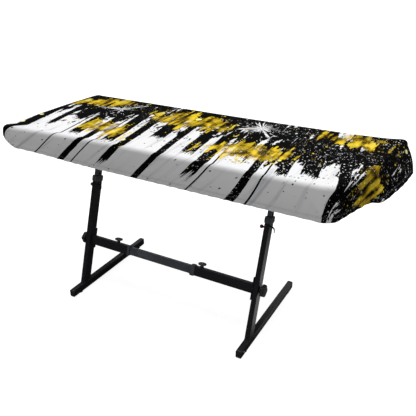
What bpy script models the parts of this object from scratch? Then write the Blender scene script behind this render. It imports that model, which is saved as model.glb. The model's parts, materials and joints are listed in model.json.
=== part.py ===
"""A fitted dust cover over a plain keyboard body, carried by a plain two-column stand.

Metres, +Z up, standing on the floor. +X runs along the keyboard and the player sits on the -Y side.
"""

import math
from collections import namedtuple

import bmesh
import bpy
import numpy as np
from mathutils import Matrix, Vector

GAP = 0.0003  # left between neighbouring pieces

# Rounded edges and round shapes
TUBE_ROUNDING = 0.0019
TRIM_ROUNDING = 0.0012  # caps, collars, plates and pads
SMALL_ROUNDING = 0.0005  # pins, screws and round pads
ROUND_STEPS = 24
SMALL_ROUND_STEPS = 12

# Cover
CLOTH_THICKNESS = 0.002
COVER_TOP = 0.602
FOLD_RADIUS = 0.010  # the bend between the top and the skirt
HEM_LIP = 0.009  # how far the drawn-in hem turns under
HEM_LIP_DROP = 0.002
CELLS_ALONG = 42  # cells of the cloth along the keyboard
CELLS_ACROSS = 16
BEND_ANGLES = (30, 60, 90)
SKIRT_STEPS = (0.25, 0.5, 0.75, 1.0)
SAMPLES = 24  # points worked out on each stretch of the outline
CORNER_WEIGHT = 0.05  # metres of outline that one radian of turn counts as
RELAXING_STEPS = 600

# The outline of the cover, seen from above and going round anticlockwise. The cloth bends down at
# fold_x, fold_y and ends at hem_x, hem_y, hem_z. reach is the length over which the outline turns
# there, and bulge is how far the skirt stands out halfway down. The grid of the top has its
# corners at the stations marked True.
Station = namedtuple("Station", "fold_x fold_y hem_x hem_y hem_z bulge reach is_corner")
STATIONS = {
    "back_left": Station(-0.674, 0.306, -0.680, 0.311, 0.494, 0.003, 0.035, True),
    "left_middle": Station(-0.687, 0.120, -0.688, 0.120, 0.494, 0.005, 0.060, False),
    "left_front": Station(-0.688, -0.100, -0.690, -0.100, 0.496, 0.006, 0.050, False),
    "front_left": Station(-0.698, -0.236, -0.688, -0.208, 0.513, 0.012, 0.042, True),
    "front_of_left": Station(-0.550, -0.212, -0.550, -0.190, 0.504, 0.008, 0.080, False),
    "front_left_third": Station(-0.360, -0.199, -0.360, -0.190, 0.495, 0.005, 0.090, False),
    "front_middle": Station(-0.100, -0.192, -0.100, -0.190, 0.494, 0.003, 0.120, False),
    "front_right": Station(0.566, -0.192, 0.573, -0.197, 0.493, 0.003, 0.042, True),
    "right_front": Station(0.603, -0.080, 0.606, -0.082, 0.495, 0.004, 0.030, False),
    "right_pinch": Station(0.626, 0.000, 0.632, -0.004, 0.497, 0.003, 0.013, False),
    "right_flare": Station(0.636, 0.028, 0.664, 0.026, 0.491, 0.002, 0.013, False),
    "right_back": Station(0.654, 0.180, 0.697, 0.180, 0.495, 0.004, 0.070, False),
    "back_right": Station(0.674, 0.348, 0.706, 0.342, 0.494, 0.006, 0.038, True),
    "back_of_right": Station(0.500, 0.318, 0.500, 0.326, 0.496, 0.004, 0.060, False),
    "back_middle": Station(0.050, 0.306, 0.050, 0.311, 0.494, 0.003, 0.150, False),
}

# Keyboard body, hidden by the cover
BODY_X = (-0.669, 0.545)
BODY_Y = (-0.178, 0.292)
BODY_BOTTOM = 0.504
BODY_TOP = COVER_TOP - CLOTH_THICKNESS - GAP
BODY_CORNER = 0.030  # the rounding of its upright corners
BODY_UNDERCUT = 0.014  # the slope along its bottom edges
BODY_ROUNDING = 0.006

# Feet
FOOT_X = 0.350  # the middle of each side frame, left and right
FOOT_Y = (-0.317, 0.143)
FOOT_WIDTH = 0.020
FOOT_BOTTOM = 0.004
FOOT_TOP = 0.031
FOOT_CAP = 0.005
CAP_PROUD = 0.0003  # how far an end cap stands out round its tube
PAD_RADIUS = 0.009
PAD_Y = (-0.272, 0.108)
SCREW_Y = -0.296
SCREW_RADIUS = 0.0032
SCREW_HEIGHT = 0.0024

# Columns, which lean back. Depths of leaning pieces are measured level, and heights upright.
LEAN = 0.33  # metres back for each metre up
COLUMN_Y = -0.237  # at the foot's top
COLUMN_WIDTH = 0.018
COLUMN_DEPTH = 0.038
COLUMN_TOP = 0.406
COLLAR_TOP = 0.427
COLLAR_WALL = 0.0022
INNER_WIDTH = 0.013
INNER_DEPTH = 0.031
INNER_TOP = 0.472

# Pull pin and lever of each column
PIN_Z = 0.390
PIN_RADIUS = 0.0035
PIN_LENGTH = 0.007
BALL_RADIUS = 0.0065
LEVER_RISE = 0.005  # how far above the pin the lever leaves the column
LEVER_OUT = 0.012
LEVER_FORWARD = 0.006
LEVER_DROP = 0.016
LEVER_RADIUS = 0.0024

# Crossbar
BAR_Z = 0.1920
BRACKET_Z = (0.158, 0.232)
BRACKET_DEPTH = 0.041
BRACKET_THICKNESS = 0.004
SLEEVE_HEIGHT = 0.032
SLEEVE_DEPTH = 0.020
SLEEVE_INNER_ENDS = {"left": -0.1700, "right": 0.1160}
BAR_COLLAR_LENGTHS = {"left": 0.009, "right": 0.018}
BAR_COLLAR_HEIGHT = 0.036
BAR_COLLAR_DEPTH = 0.024
BAR_HEIGHT = 0.028
BAR_DEPTH = 0.016
KNOB_X = {"left": -0.219, "right": 0.138}
# Radius and height of the knob's profile, top to bottom
KNOB_PROFILE = (
    (0.0, 0.0155), (0.0125, 0.0155), (0.0147, 0.0138), (0.0147, 0.0106),
    (0.0130, 0.0090), (0.0070, 0.0082), (0.0064, 0.0), (0.0, 0.0),
)
END_KNOB_RADIUS = 0.0202
END_KNOB_THICKNESS = 0.015
END_KNOB_BOSS_RADIUS = 0.010
END_KNOB_BOSS_LENGTH = 0.005
END_KNOB_LOBES = 5
STEPS_PER_LOBE = 6
END_KNOB_LOBE_DEPTH = 0.10  # share of the radius

# Support arms under the keyboard body
ARM_Y = (-0.125, 0.245)
ARM_WIDTH = 0.025
ARM_HEIGHT = 0.024
ARM_CAP = 0.004
ARM_PAD_Y = (-0.075, 0.195)
ARM_PAD_LENGTH = 0.050
ARM_PAD_HEIGHT = BODY_BOTTOM - GAP - (INNER_TOP + GAP + ARM_HEIGHT + GAP)

SIDES = {"left": -1, "right": 1}

# Colour, roughness and metallic value of each finish
FINISHES = {
    "cover_cloth": ((0.62, 0.58, 0.42), 0.65, 0.0),
    "keyboard_plastic": ((0.030, 0.030, 0.032), 0.55, 0.0),
    "black_steel": ((0.016, 0.016, 0.018), 0.42, 0.6),
    "black_plastic": ((0.020, 0.020, 0.021), 0.50, 0.0),
    "black_rubber": ((0.015, 0.015, 0.015), 0.85, 0.0),
    "grey_plastic": ((0.060, 0.068, 0.080), 0.50, 0.0),
    "red_plastic": ((0.210, 0.010, 0.012), 0.30, 0.0),
    "zinc_steel": ((0.350, 0.350, 0.360), 0.35, 1.0),
}


def empty_scene():
    for old in list(bpy.data.objects):
        bpy.data.objects.remove(old)


def collection(name):
    made = bpy.data.collections.new(name)
    bpy.context.scene.collection.children.link(made)
    return made


def own_material(node, finish):
    """A Principled material for one piece, with the values of its finish."""
    colour, roughness, metallic = FINISHES[finish]
    made = bpy.data.materials.new(node)
    made.use_nodes = True
    shader = made.node_tree.nodes["Principled BSDF"]
    shader.inputs["Base Color"].default_value = (*colour, 1.0)
    shader.inputs["Roughness"].default_value = roughness
    shader.inputs["Metallic"].default_value = metallic
    made.diffuse_color = (*colour, 1.0)
    return made


def piece(node, data, finish, location=(0, 0, 0)):
    """Links a mesh or curve as one piece of the part."""
    made = bpy.data.objects.new(node, data)
    made.location = location
    data.materials.append(own_material(node, finish))
    PARTS.objects.link(made)
    return made


def mesh_from(node, shape):
    """Turns a bmesh into a mesh."""
    data = bpy.data.meshes.new(node)
    shape.to_mesh(data)
    shape.free()
    return data


def round_edges(made, width, segments=2):
    bevel = made.modifiers.new("rounded edges", "BEVEL")
    bevel.width = width
    bevel.segments = segments
    bevel.limit_method = "ANGLE"
    bevel.angle_limit = math.radians(40)


def smooth(made, angle=35):
    made.data.shade_smooth()
    made.data.set_sharp_from_angle(angle=math.radians(angle))


def column_y(z):
    """Where the middle of a leaning column is at a height."""
    return COLUMN_Y + LEAN * (z - FOOT_TOP)


def box(node, low, high, finish, rounding=TRIM_ROUNDING, lean=0.0):
    """A box between two corners. With a lean, its side faces slope back and its ends stay level."""
    low, high = Vector(low), Vector(high)
    shape = bmesh.new()
    bmesh.ops.create_cube(shape, size=1.0)
    bmesh.ops.scale(shape, vec=high - low, verts=shape.verts)
    for vertex in shape.verts:
        vertex.co.y += lean * vertex.co.z
    made = piece(node, mesh_from(node, shape), finish, (low + high) / 2)
    round_edges(made, rounding)
    return made


def leaning_box(node, x_range, z_range, depth, finish, rounding=TRIM_ROUNDING, square=(True, True)):
    """A box that follows the columns' lean, centred on them in Y.

    Its bottom and top are cut square to the lean where they are said to be, and level elsewhere.
    """
    y = column_y(sum(z_range) / 2)
    low = (min(x_range), y - depth / 2, z_range[0])
    high = (max(x_range), y + depth / 2, z_range[1])
    made = box(node, low, high, finish, rounding, LEAN)
    for vertex in made.data.vertices:
        is_top = vertex.co.z > 0
        if square[is_top]:
            behind = vertex.co.y - LEAN * vertex.co.z
            drop = behind * LEAN / (1 + LEAN**2)
            vertex.co -= Vector((0, LEAN, 1)) * drop
    return made


def cylinder(node, radius, length, location, axis, finish, steps=SMALL_ROUND_STEPS):
    """A round piece centred on its location, along X or Z."""
    shape = bmesh.new()
    bmesh.ops.create_cone(
        shape, cap_ends=True, segments=steps, radius1=radius, radius2=radius, depth=length
    )
    if axis == "X":
        bmesh.ops.rotate(shape, matrix=Matrix.Rotation(math.radians(90), 3, "Y"), verts=shape.verts)
    made = piece(node, mesh_from(node, shape), finish, location)
    round_edges(made, SMALL_ROUNDING, 1)
    smooth(made)
    return made


def outline():
    """The cover's outline as rows of fold_x, fold_y, hem_x, hem_y, hem_z and bulge.

    Each station is rounded by a quadratic curve over its reach, with a straight stretch to the
    next one. Also returns the rows where the corners of the top's grid are.
    """
    stations = list(STATIONS.values())
    values = np.array([station[:6] for station in stations])
    rows, corners = [], []
    along = np.linspace(0.0, 1.0, SAMPLES, endpoint=False)[:, None]
    for index, station in enumerate(stations):
        here = values[index]
        before = values[index - 1]
        after = values[(index + 1) % len(stations)]
        beyond = stations[(index + 1) % len(stations)].reach
        gone = after - here
        length_in = np.hypot(*(before - here)[:2])
        length_out = np.hypot(*gone[:2])
        start = here + (before - here) * station.reach / length_in
        end = here + gone * station.reach / length_out
        next_start = after - gone * beyond / length_out
        if station.is_corner:
            corners.append(len(rows) + SAMPLES // 2)
        rows.extend((1 - along) ** 2 * start + 2 * along * (1 - along) * here + along**2 * end)
        rows.extend(end + (next_start - end) * along)
    return np.array(rows), corners


def outward(points):
    """Unit normals of a closed anticlockwise outline, pointing out of it."""
    travel = np.roll(points, -1, axis=0) - np.roll(points, 1, axis=0)
    normal = np.stack([travel[:, 1], -travel[:, 0]], axis=1)
    return normal / np.linalg.norm(normal, axis=1)[:, None]


def spaced_outline(counts):
    """The outline sampled with that many cells on each side between the grid's corners.

    Where the outline turns, the samples are closer together.
    """
    rows, corners = outline()
    rows = np.roll(rows, -corners[0], axis=0)
    stops = [corner - corners[0] for corner in corners] + [len(rows)]
    rows = np.vstack([rows, rows[:1]])
    travel = np.diff(rows[:, :2], axis=0)
    heading = np.unwrap(np.arctan2(travel[:, 1], travel[:, 0]))
    turn = np.abs(np.diff(heading, append=heading[-1]))
    weight = np.concatenate([[0.0], np.cumsum(np.hypot(*travel.T) + CORNER_WEIGHT * turn)])
    places = []
    for first, last, count in zip(stops[:-1], stops[1:], counts, strict=True):
        places.extend(np.linspace(weight[first], weight[last], count, endpoint=False))
    return np.stack([np.interp(places, weight, column) for column in rows.T], axis=1)


def cloth_rings():
    """Rings of points from the edge of the flat top down to the turned-under hem."""
    ring = spaced_outline((CELLS_ACROSS, CELLS_ALONG, CELLS_ACROSS, CELLS_ALONG))
    fold, hem, hem_z, bulge = ring[:, :2], ring[:, 2:4], ring[:, 4:5], ring[:, 5:6]
    normal = outward(fold)
    rings = [np.hstack([fold - FOLD_RADIUS * normal, np.full_like(hem_z, COVER_TOP)])]
    for angle in map(math.radians, BEND_ANGLES):
        inset = FOLD_RADIUS * (1 - math.sin(angle))
        height = COVER_TOP - FOLD_RADIUS * (1 - math.cos(angle))
        rings.append(np.hstack([fold - inset * normal, np.full_like(hem_z, height)]))
    skirt_top = COVER_TOP - FOLD_RADIUS
    for step in SKIRT_STEPS:
        place = fold + (hem - fold) * step + normal * bulge * math.sin(math.pi * step)
        rings.append(np.hstack([place, skirt_top + (hem_z - skirt_top) * step]))
    lip = hem - HEM_LIP * outward(hem)
    rings.append(np.hstack([lip, hem_z - HEM_LIP_DROP]))
    return rings


def filled_top(ring):
    """A grid of points that fills the first ring: blended from its four sides (a Coons patch), and
    then relaxed until each inner point is the mean of its neighbours, so that no cell folds over.
    """
    across, along = CELLS_ACROSS, CELLS_ALONG
    closed = np.vstack([ring, ring[:1]])
    left = closed[: across + 1][::-1]
    front = closed[across : across + along + 1]
    right = closed[across + along : 2 * across + along + 1]
    back = closed[2 * across + along :][::-1]
    u = np.linspace(0, 1, along + 1)[:, None, None]
    v = np.linspace(0, 1, across + 1)[None, :, None]
    sides = (1 - v) * front[:, None] + v * back[:, None] + (1 - u) * left[None] + u * right[None]
    corners = (1 - u) * ((1 - v) * front[0] + v * back[0]) + u * ((1 - v) * front[-1] + v * back[-1])
    grid = sides - corners
    for _ in range(RELAXING_STEPS):
        neighbours = grid[:-2, 1:-1] + grid[2:, 1:-1] + grid[1:-1, :-2] + grid[1:-1, 2:]
        grid[1:-1, 1:-1] = neighbours / 4
    return grid


def cover():
    """One thin sheet: a flat top, rounded over its edges into a skirt with a drawn-in hem."""
    rings = cloth_rings()
    top = filled_top(rings[0])
    shape = bmesh.new()
    grid = [[shape.verts.new(point) for point in column] for column in top]
    for i in range(CELLS_ALONG):
        for j in range(CELLS_ACROSS):
            shape.faces.new((grid[i][j], grid[i + 1][j], grid[i + 1][j + 1], grid[i][j + 1]))
    above = grid[0][:0:-1] + [column[0] for column in grid[:-1]]
    above += grid[-1][:-1] + [column[-1] for column in grid[:0:-1]]
    for ring in rings[1:]:
        below = [shape.verts.new(point) for point in ring]
        for k, vertex in enumerate(below):
            shape.faces.new((above[k - 1], below[k - 1], vertex, above[k]))
        above = below
    made = piece("cover", mesh_from("cover", shape), "cover_cloth")
    wall = made.modifiers.new("cloth thickness", "SOLIDIFY")
    wall.thickness = CLOTH_THICKNESS
    wall.offset = -1.0
    smooth(made, 60)


def keyboard_body():
    """A slab with rounded upright corners, a sloping undercut and rounded upper edges."""
    low = Vector((BODY_X[0], BODY_Y[0], BODY_BOTTOM))
    high = Vector((BODY_X[1], BODY_Y[1], BODY_TOP))
    shape = bmesh.new()
    bmesh.ops.create_cube(shape, size=1.0)
    bmesh.ops.scale(shape, vec=high - low, verts=shape.verts)
    upright = [edge for edge in shape.edges if abs(edge.verts[0].co.z - edge.verts[1].co.z) > GAP]
    bmesh.ops.bevel(shape, geom=upright, offset=BODY_CORNER, segments=6, profile=0.5, affect="EDGES")
    bottom = min(shape.faces, key=lambda face: face.calc_center_median().z)
    edges = list(bottom.edges)
    bmesh.ops.bevel(shape, geom=edges, offset=BODY_UNDERCUT, segments=1, profile=0.5, affect="EDGES")
    made = piece("keyboard_body", mesh_from("keyboard_body", shape), "keyboard_plastic", (low + high) / 2)
    round_edges(made, BODY_ROUNDING, 2)
    smooth(made)


def foot(side, sign):
    """A foot tube with a cap on each end, two rubber pads under it and a screw on its outer side."""
    x = sign * FOOT_X
    half = FOOT_WIDTH / 2
    ends = {"front": FOOT_Y[0], "back": FOOT_Y[1]}
    inset = FOOT_CAP + GAP
    low = (x - half, FOOT_Y[0] + inset, FOOT_BOTTOM)
    high = (x + half, FOOT_Y[1] - inset, FOOT_TOP)
    box(f"foot_tube_{side}", low, high, "black_steel", TUBE_ROUNDING)
    for end, y in ends.items():
        inner = y + (FOOT_CAP if end == "front" else -FOOT_CAP)
        low = (x - half - CAP_PROUD, min(y, inner), FOOT_BOTTOM - CAP_PROUD)
        high = (x + half + CAP_PROUD, max(y, inner), FOOT_TOP + CAP_PROUD)
        box(f"foot_cap_{side}_{end}", low, high, "black_plastic")
    pad_height = FOOT_BOTTOM - GAP
    for end, y in zip(ends, PAD_Y, strict=True):
        place = (x, y, pad_height / 2)
        name = f"foot_pad_{side}_{end}"
        cylinder(name, PAD_RADIUS, pad_height, place, "Z", "black_rubber", ROUND_STEPS)
    screw_x = x + sign * (half + GAP + SCREW_HEIGHT / 2)
    place = (screw_x, SCREW_Y, (FOOT_BOTTOM + FOOT_TOP) / 2)
    cylinder(f"foot_screw_{side}", SCREW_RADIUS, SCREW_HEIGHT, place, "X", "zinc_steel")


def column(side, sign):
    """A leaning outer tube, its plastic collar and the inner tube that comes out of it."""
    x = sign * FOOT_X
    half = COLUMN_WIDTH / 2
    tube_z = (FOOT_TOP + GAP, COLUMN_TOP)
    name = f"column_tube_{side}"
    width = (x - half, x + half)
    leaning_box(name, width, tube_z, COLUMN_DEPTH, "black_steel", TUBE_ROUNDING, (False, True))
    half += COLLAR_WALL
    collar_z = (COLUMN_TOP + GAP, COLLAR_TOP)
    depth = COLUMN_DEPTH + 2 * COLLAR_WALL
    leaning_box(f"column_collar_{side}", (x - half, x + half), collar_z, depth, "grey_plastic")
    half = INNER_WIDTH / 2
    inner_z = (COLLAR_TOP + GAP, INNER_TOP)
    name = f"column_inner_{side}"
    width = (x - half, x + half)
    leaning_box(name, width, inner_z, INNER_DEPTH, "black_steel", TUBE_ROUNDING, (True, False))


def pull_pin(side, sign):
    """A short round stem on the column's left side, with a ball on its end."""
    face = sign * FOOT_X - COLUMN_WIDTH / 2 - GAP
    y = column_y(PIN_Z)
    place = (face - PIN_LENGTH / 2, y, PIN_Z)
    cylinder(f"pin_stem_{side}", PIN_RADIUS, PIN_LENGTH, place, "X", "zinc_steel")
    shape = bmesh.new()
    bmesh.ops.create_uvsphere(shape, u_segments=16, v_segments=10, radius=BALL_RADIUS)
    place = (face - PIN_LENGTH - GAP - BALL_RADIUS, y, PIN_Z)
    ball = piece(f"pin_ball_{side}", mesh_from("pin_ball", shape), "red_plastic", place)
    smooth(ball, 80)


def pin_lever(side, sign):
    """A small lever that leaves the column's right side and turns forwards and down."""
    curve = bpy.data.curves.new(f"pin_lever_{side}", "CURVE")
    curve.dimensions = "3D"
    curve.bevel_depth = LEVER_RADIUS
    curve.bevel_resolution = 2
    curve.use_fill_caps = True
    curve.resolution_u = 5
    spline = curve.splines.new("BEZIER")
    spline.bezier_points.add(1)
    start, end = spline.bezier_points
    start.co = (0, 0, 0)
    start.handle_left = (-LEVER_OUT, 0, 0)
    start.handle_right = (LEVER_OUT, 0, 0)
    end.co = (LEVER_OUT, -LEVER_FORWARD, -LEVER_DROP)
    end.handle_left = (LEVER_OUT, -LEVER_FORWARD, -LEVER_DROP / 2)
    end.handle_right = (LEVER_OUT, -LEVER_FORWARD, -LEVER_DROP * 1.5)
    z = PIN_Z + LEVER_RISE
    place = (sign * FOOT_X + COLUMN_WIDTH / 2 + GAP, column_y(z), z)
    piece(f"pin_lever_{side}", curve, "black_plastic", place)


def bar_range(height):
    """The heights of the bottom and top of a piece of the crossbar."""
    return (BAR_Z - height / 2, BAR_Z + height / 2)


def crossbar_side(side, sign):
    """The bracket, sleeve, collar and two knobs that one column carries."""
    inner_face = sign * (FOOT_X - COLUMN_WIDTH / 2 - GAP)
    bracket_end = inner_face - sign * BRACKET_THICKNESS
    width = (inner_face, bracket_end)
    leaning_box(f"bar_bracket_{side}", width, BRACKET_Z, BRACKET_DEPTH, "black_steel")
    sleeve = (bracket_end - sign * GAP, SLEEVE_INNER_ENDS[side])
    height = bar_range(SLEEVE_HEIGHT)
    leaning_box(f"bar_sleeve_{side}", sleeve, height, SLEEVE_DEPTH, "black_steel", TUBE_ROUNDING)
    start = SLEEVE_INNER_ENDS[side] - sign * GAP
    collar = (start, start - sign * BAR_COLLAR_LENGTHS[side])
    height = bar_range(BAR_COLLAR_HEIGHT)
    leaning_box(f"bar_collar_{side}", collar, height, BAR_COLLAR_DEPTH, "grey_plastic")
    round_knob(side)
    end_knob(side, sign)


def round_knob(side):
    """A turned knob on the top of the sleeve, leaning back with it."""
    base_z = BAR_Z + SLEEVE_HEIGHT / 2 + GAP
    shape = bmesh.new()
    points = [shape.verts.new((radius, 0, height)) for radius, height in KNOB_PROFILE]
    for above, below in zip(points[:-1], points[1:], strict=True):
        shape.edges.new((above, below))
    place = (KNOB_X[side], column_y(base_z), base_z)
    made = piece(f"bar_knob_{side}", mesh_from("bar_knob", shape), "grey_plastic", place)
    made.rotation_euler.x = -math.atan(LEAN)
    turn = made.modifiers.new("turned", "SCREW")
    turn.steps = ROUND_STEPS
    turn.render_steps = ROUND_STEPS
    turn.use_merge_vertices = True
    turn.merge_threshold = 0.0001
    smooth(made)


def end_knob(side, sign):
    """A lobed knob on the column's outer side, with a round boss between the two."""
    shape = bmesh.new()
    bmesh.ops.create_cone(
        shape, cap_ends=True, segments=END_KNOB_LOBES * STEPS_PER_LOBE,
        radius1=END_KNOB_RADIUS, radius2=END_KNOB_RADIUS, depth=END_KNOB_THICKNESS,
    )
    for vertex in shape.verts:
        angle = math.atan2(vertex.co.y, vertex.co.x)
        vertex.co.xy *= 1 + END_KNOB_LOBE_DEPTH * math.cos(END_KNOB_LOBES * angle)
    inner = min(shape.faces, key=lambda face: face.calc_center_median().z)
    bmesh.ops.inset_region(shape, faces=[inner], thickness=END_KNOB_RADIUS / 4)
    for vertex in inner.verts:
        vertex.co.xy = vertex.co.xy.normalized() * END_KNOB_BOSS_RADIUS
    boss = bmesh.ops.extrude_discrete_faces(shape, faces=[inner])["faces"][0]
    bmesh.ops.translate(shape, vec=(0, 0, -END_KNOB_BOSS_LENGTH), verts=boss.verts)
    lift = END_KNOB_THICKNESS / 2 + END_KNOB_BOSS_LENGTH
    bmesh.ops.translate(shape, vec=(0, 0, lift), verts=shape.verts)
    turn = Matrix.Rotation(math.radians(90 * sign), 3, "Y")
    bmesh.ops.rotate(shape, matrix=turn, verts=shape.verts)
    face_x = sign * (FOOT_X + COLUMN_WIDTH / 2 + GAP)
    place = (face_x, column_y(BAR_Z), BAR_Z)
    made = piece(f"end_knob_{side}", mesh_from("end_knob", shape), "black_plastic", place)
    round_edges(made, TRIM_ROUNDING, 1)
    smooth(made)


def inner_bar():
    """The bar that joins the two sleeves."""
    left = SLEEVE_INNER_ENDS["left"] + 2 * GAP + BAR_COLLAR_LENGTHS["left"]
    right = SLEEVE_INNER_ENDS["right"] - 2 * GAP - BAR_COLLAR_LENGTHS["right"]
    height = bar_range(BAR_HEIGHT)
    leaning_box("bar_inner", (left, right), height, BAR_DEPTH, "black_steel", TUBE_ROUNDING)


def support_arm(side, sign):
    """The arm on a column's inner tube, with capped ends and two rubber pads under the keyboard."""
    x = sign * FOOT_X
    half = ARM_WIDTH / 2
    bottom = INNER_TOP + GAP
    top = bottom + ARM_HEIGHT
    inset = ARM_CAP + GAP
    low = (x - half, ARM_Y[0] + inset, bottom)
    high = (x + half, ARM_Y[1] - inset, top)
    box(f"arm_tube_{side}", low, high, "black_steel", TUBE_ROUNDING)
    for end, y in {"front": ARM_Y[0], "back": ARM_Y[1]}.items():
        inner = y + (ARM_CAP if end == "front" else -ARM_CAP)
        low = (x - half, min(y, inner), bottom)
        high = (x + half, max(y, inner), top)
        box(f"arm_cap_{side}_{end}", low, high, "black_plastic")
    for end, y in zip(("front", "back"), ARM_PAD_Y, strict=True):
        low = (x - half, y - ARM_PAD_LENGTH / 2, top + GAP)
        high = (x + half, y + ARM_PAD_LENGTH / 2, top + GAP + ARM_PAD_HEIGHT)
        box(f"arm_pad_{side}_{end}", low, high, "black_rubber")


def centre_over_origin():
    """Parents every piece to an empty that puts the origin on the floor under the box's middle."""
    bpy.context.view_layer.update()
    graph = bpy.context.evaluated_depsgraph_get()
    points = []
    for made in PARTS.objects:
        shown = made.evaluated_get(graph)
        points += [shown.matrix_world @ vertex.co for vertex in shown.to_mesh().vertices]
        shown.to_mesh_clear()
    low, high = np.min(points, axis=0), np.max(points, axis=0)
    holder = bpy.data.objects.new("keyboard_cover_and_stand", None)
    PARTS.objects.link(holder)
    for made in PARTS.objects:
        if made != holder:
            made.parent = holder
    holder.location = (-(low[0] + high[0]) / 2, -(low[1] + high[1]) / 2, -low[2])


def build():
    cover()
    keyboard_body()
    for side, sign in SIDES.items():
        foot(side, sign)
        column(side, sign)
        pull_pin(side, sign)
        pin_lever(side, sign)
        crossbar_side(side, sign)
        support_arm(side, sign)
    inner_bar()
    centre_over_origin()


empty_scene()
PARTS = collection("keyboard_dust_cover")
build()
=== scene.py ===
"""The looks of a fitted dust cover over a keyboard body on a plain two-column stand.

Laid out as an add-on: each operator makes one piece or group of like pieces, and a panel in the 3D
view's sidebar lists them. Metres, +Z up, in the frame of the packed part.
"""

import json
import math
from collections import namedtuple

import bpy
import numpy as np
from mathutils import Matrix, Vector


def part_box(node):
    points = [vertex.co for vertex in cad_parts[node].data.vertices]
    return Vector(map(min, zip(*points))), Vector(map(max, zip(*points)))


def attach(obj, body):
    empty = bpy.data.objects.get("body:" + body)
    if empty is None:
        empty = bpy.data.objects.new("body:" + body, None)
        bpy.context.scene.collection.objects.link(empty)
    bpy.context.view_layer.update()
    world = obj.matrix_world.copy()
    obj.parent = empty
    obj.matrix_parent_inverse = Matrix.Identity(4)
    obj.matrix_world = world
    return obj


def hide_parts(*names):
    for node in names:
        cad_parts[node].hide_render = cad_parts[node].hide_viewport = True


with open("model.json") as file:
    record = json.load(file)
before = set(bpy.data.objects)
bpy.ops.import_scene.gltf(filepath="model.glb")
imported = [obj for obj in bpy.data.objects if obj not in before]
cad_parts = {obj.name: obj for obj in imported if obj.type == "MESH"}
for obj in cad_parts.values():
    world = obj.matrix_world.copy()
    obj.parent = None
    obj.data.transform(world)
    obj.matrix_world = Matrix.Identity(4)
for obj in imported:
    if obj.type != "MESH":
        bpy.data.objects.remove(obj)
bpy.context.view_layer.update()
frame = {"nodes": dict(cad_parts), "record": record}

bl_info = {
    "name": "Keyboard dust cover",
    "version": (1, 0, 0),
    "blender": (4, 5, 0),
    "location": "3D View > Sidebar > Dust Cover",
    "description": "A printed stretch cover over a keyboard body on a steel stand",
    "category": "Add Mesh",
}

BODY = "root"

# The plan's zero point: midway between the two feet, and this far behind their front ends
FEET_FRONT_TO_PLAN = 0.317
LEFT_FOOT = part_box("foot_tube_left")
RIGHT_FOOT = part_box("foot_tube_right")
PLAN_ZERO = Vector((
    (LEFT_FOOT[0].x + RIGHT_FOOT[1].x) / 2,
    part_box("foot_cap_left_front")[0].y + FEET_FRONT_TO_PLAN,
    0.0,
))
COVER_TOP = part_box("cover")[1].z
LEAN = 0.33  # metres that a column leans back for each metre up
SIDES = {"left": -1, "right": 1}

# Depths of the leaning pieces, measured level, and the height of the crossbar's sleeves
COLUMN_DEPTH = 0.038
INNER_DEPTH = 0.031
SLEEVE_DEPTH = 0.020
SLEEVE_HEIGHT = 0.032
SQUARE = 1 / math.hypot(1, LEAN)  # a depth measured square to the lean, as a share of a level one

# The cover's mesh
CELLS_ALONG = 210
CELLS_ACROSS = 80
BEND_STEPS = 6
SKIRT_RINGS = 26
LIP_STEPS = 4
OUTLINE_SAMPLES = 60  # points worked out on each stretch of the outline
CORNER_WEIGHT = 0.05  # metres of outline that one radian of turn counts as
RELAXING_STEPS = 2500
HEM_LIP_DROP = 0.002
STITCH_ROWS = (0.81, 0.85)  # share of the skirt's depth at which each row of stitches runs

# The outline of the cover in plan, going round anticlockwise. The cloth bends down at fold_x,
# fold_y and ends at hem_x, hem_y, hem_z. reach is the length over which the outline turns there,
# and bulge is how far the skirt stands out halfway down. The grid of the top has its corners at
# the stations marked True.
Station = namedtuple("Station", "fold_x fold_y hem_x hem_y hem_z bulge reach is_corner")
STATIONS = {
    "back_left": Station(-0.674, 0.306, -0.680, 0.311, 0.494, 0.003, 0.035, True),
    "left_middle": Station(-0.687, 0.120, -0.688, 0.120, 0.494, 0.005, 0.060, False),
    "left_front": Station(-0.688, -0.100, -0.690, -0.100, 0.496, 0.006, 0.050, False),
    "front_left": Station(-0.698, -0.236, -0.688, -0.208, 0.513, 0.012, 0.042, True),
    "front_of_left": Station(-0.550, -0.212, -0.550, -0.190, 0.504, 0.008, 0.080, False),
    "front_left_third": Station(-0.360, -0.199, -0.360, -0.190, 0.495, 0.005, 0.090, False),
    "front_middle": Station(-0.100, -0.192, -0.100, -0.190, 0.494, 0.003, 0.120, False),
    "front_right": Station(0.566, -0.192, 0.573, -0.197, 0.493, 0.003, 0.042, True),
    "right_front": Station(0.603, -0.080, 0.606, -0.082, 0.495, 0.004, 0.030, False),
    "right_pinch": Station(0.626, 0.000, 0.632, -0.004, 0.497, 0.003, 0.013, False),
    "right_flare": Station(0.636, 0.028, 0.664, 0.026, 0.491, 0.002, 0.013, False),
    "right_back": Station(0.654, 0.180, 0.697, 0.180, 0.495, 0.004, 0.070, False),
    "back_right": Station(0.674, 0.348, 0.706, 0.342, 0.494, 0.006, 0.038, True),
    "back_of_right": Station(0.500, 0.318, 0.500, 0.326, 0.496, 0.004, 0.060, False),
    "back_middle": Station(0.050, 0.306, 0.050, 0.311, 0.494, 0.003, 0.150, False),
}

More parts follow.
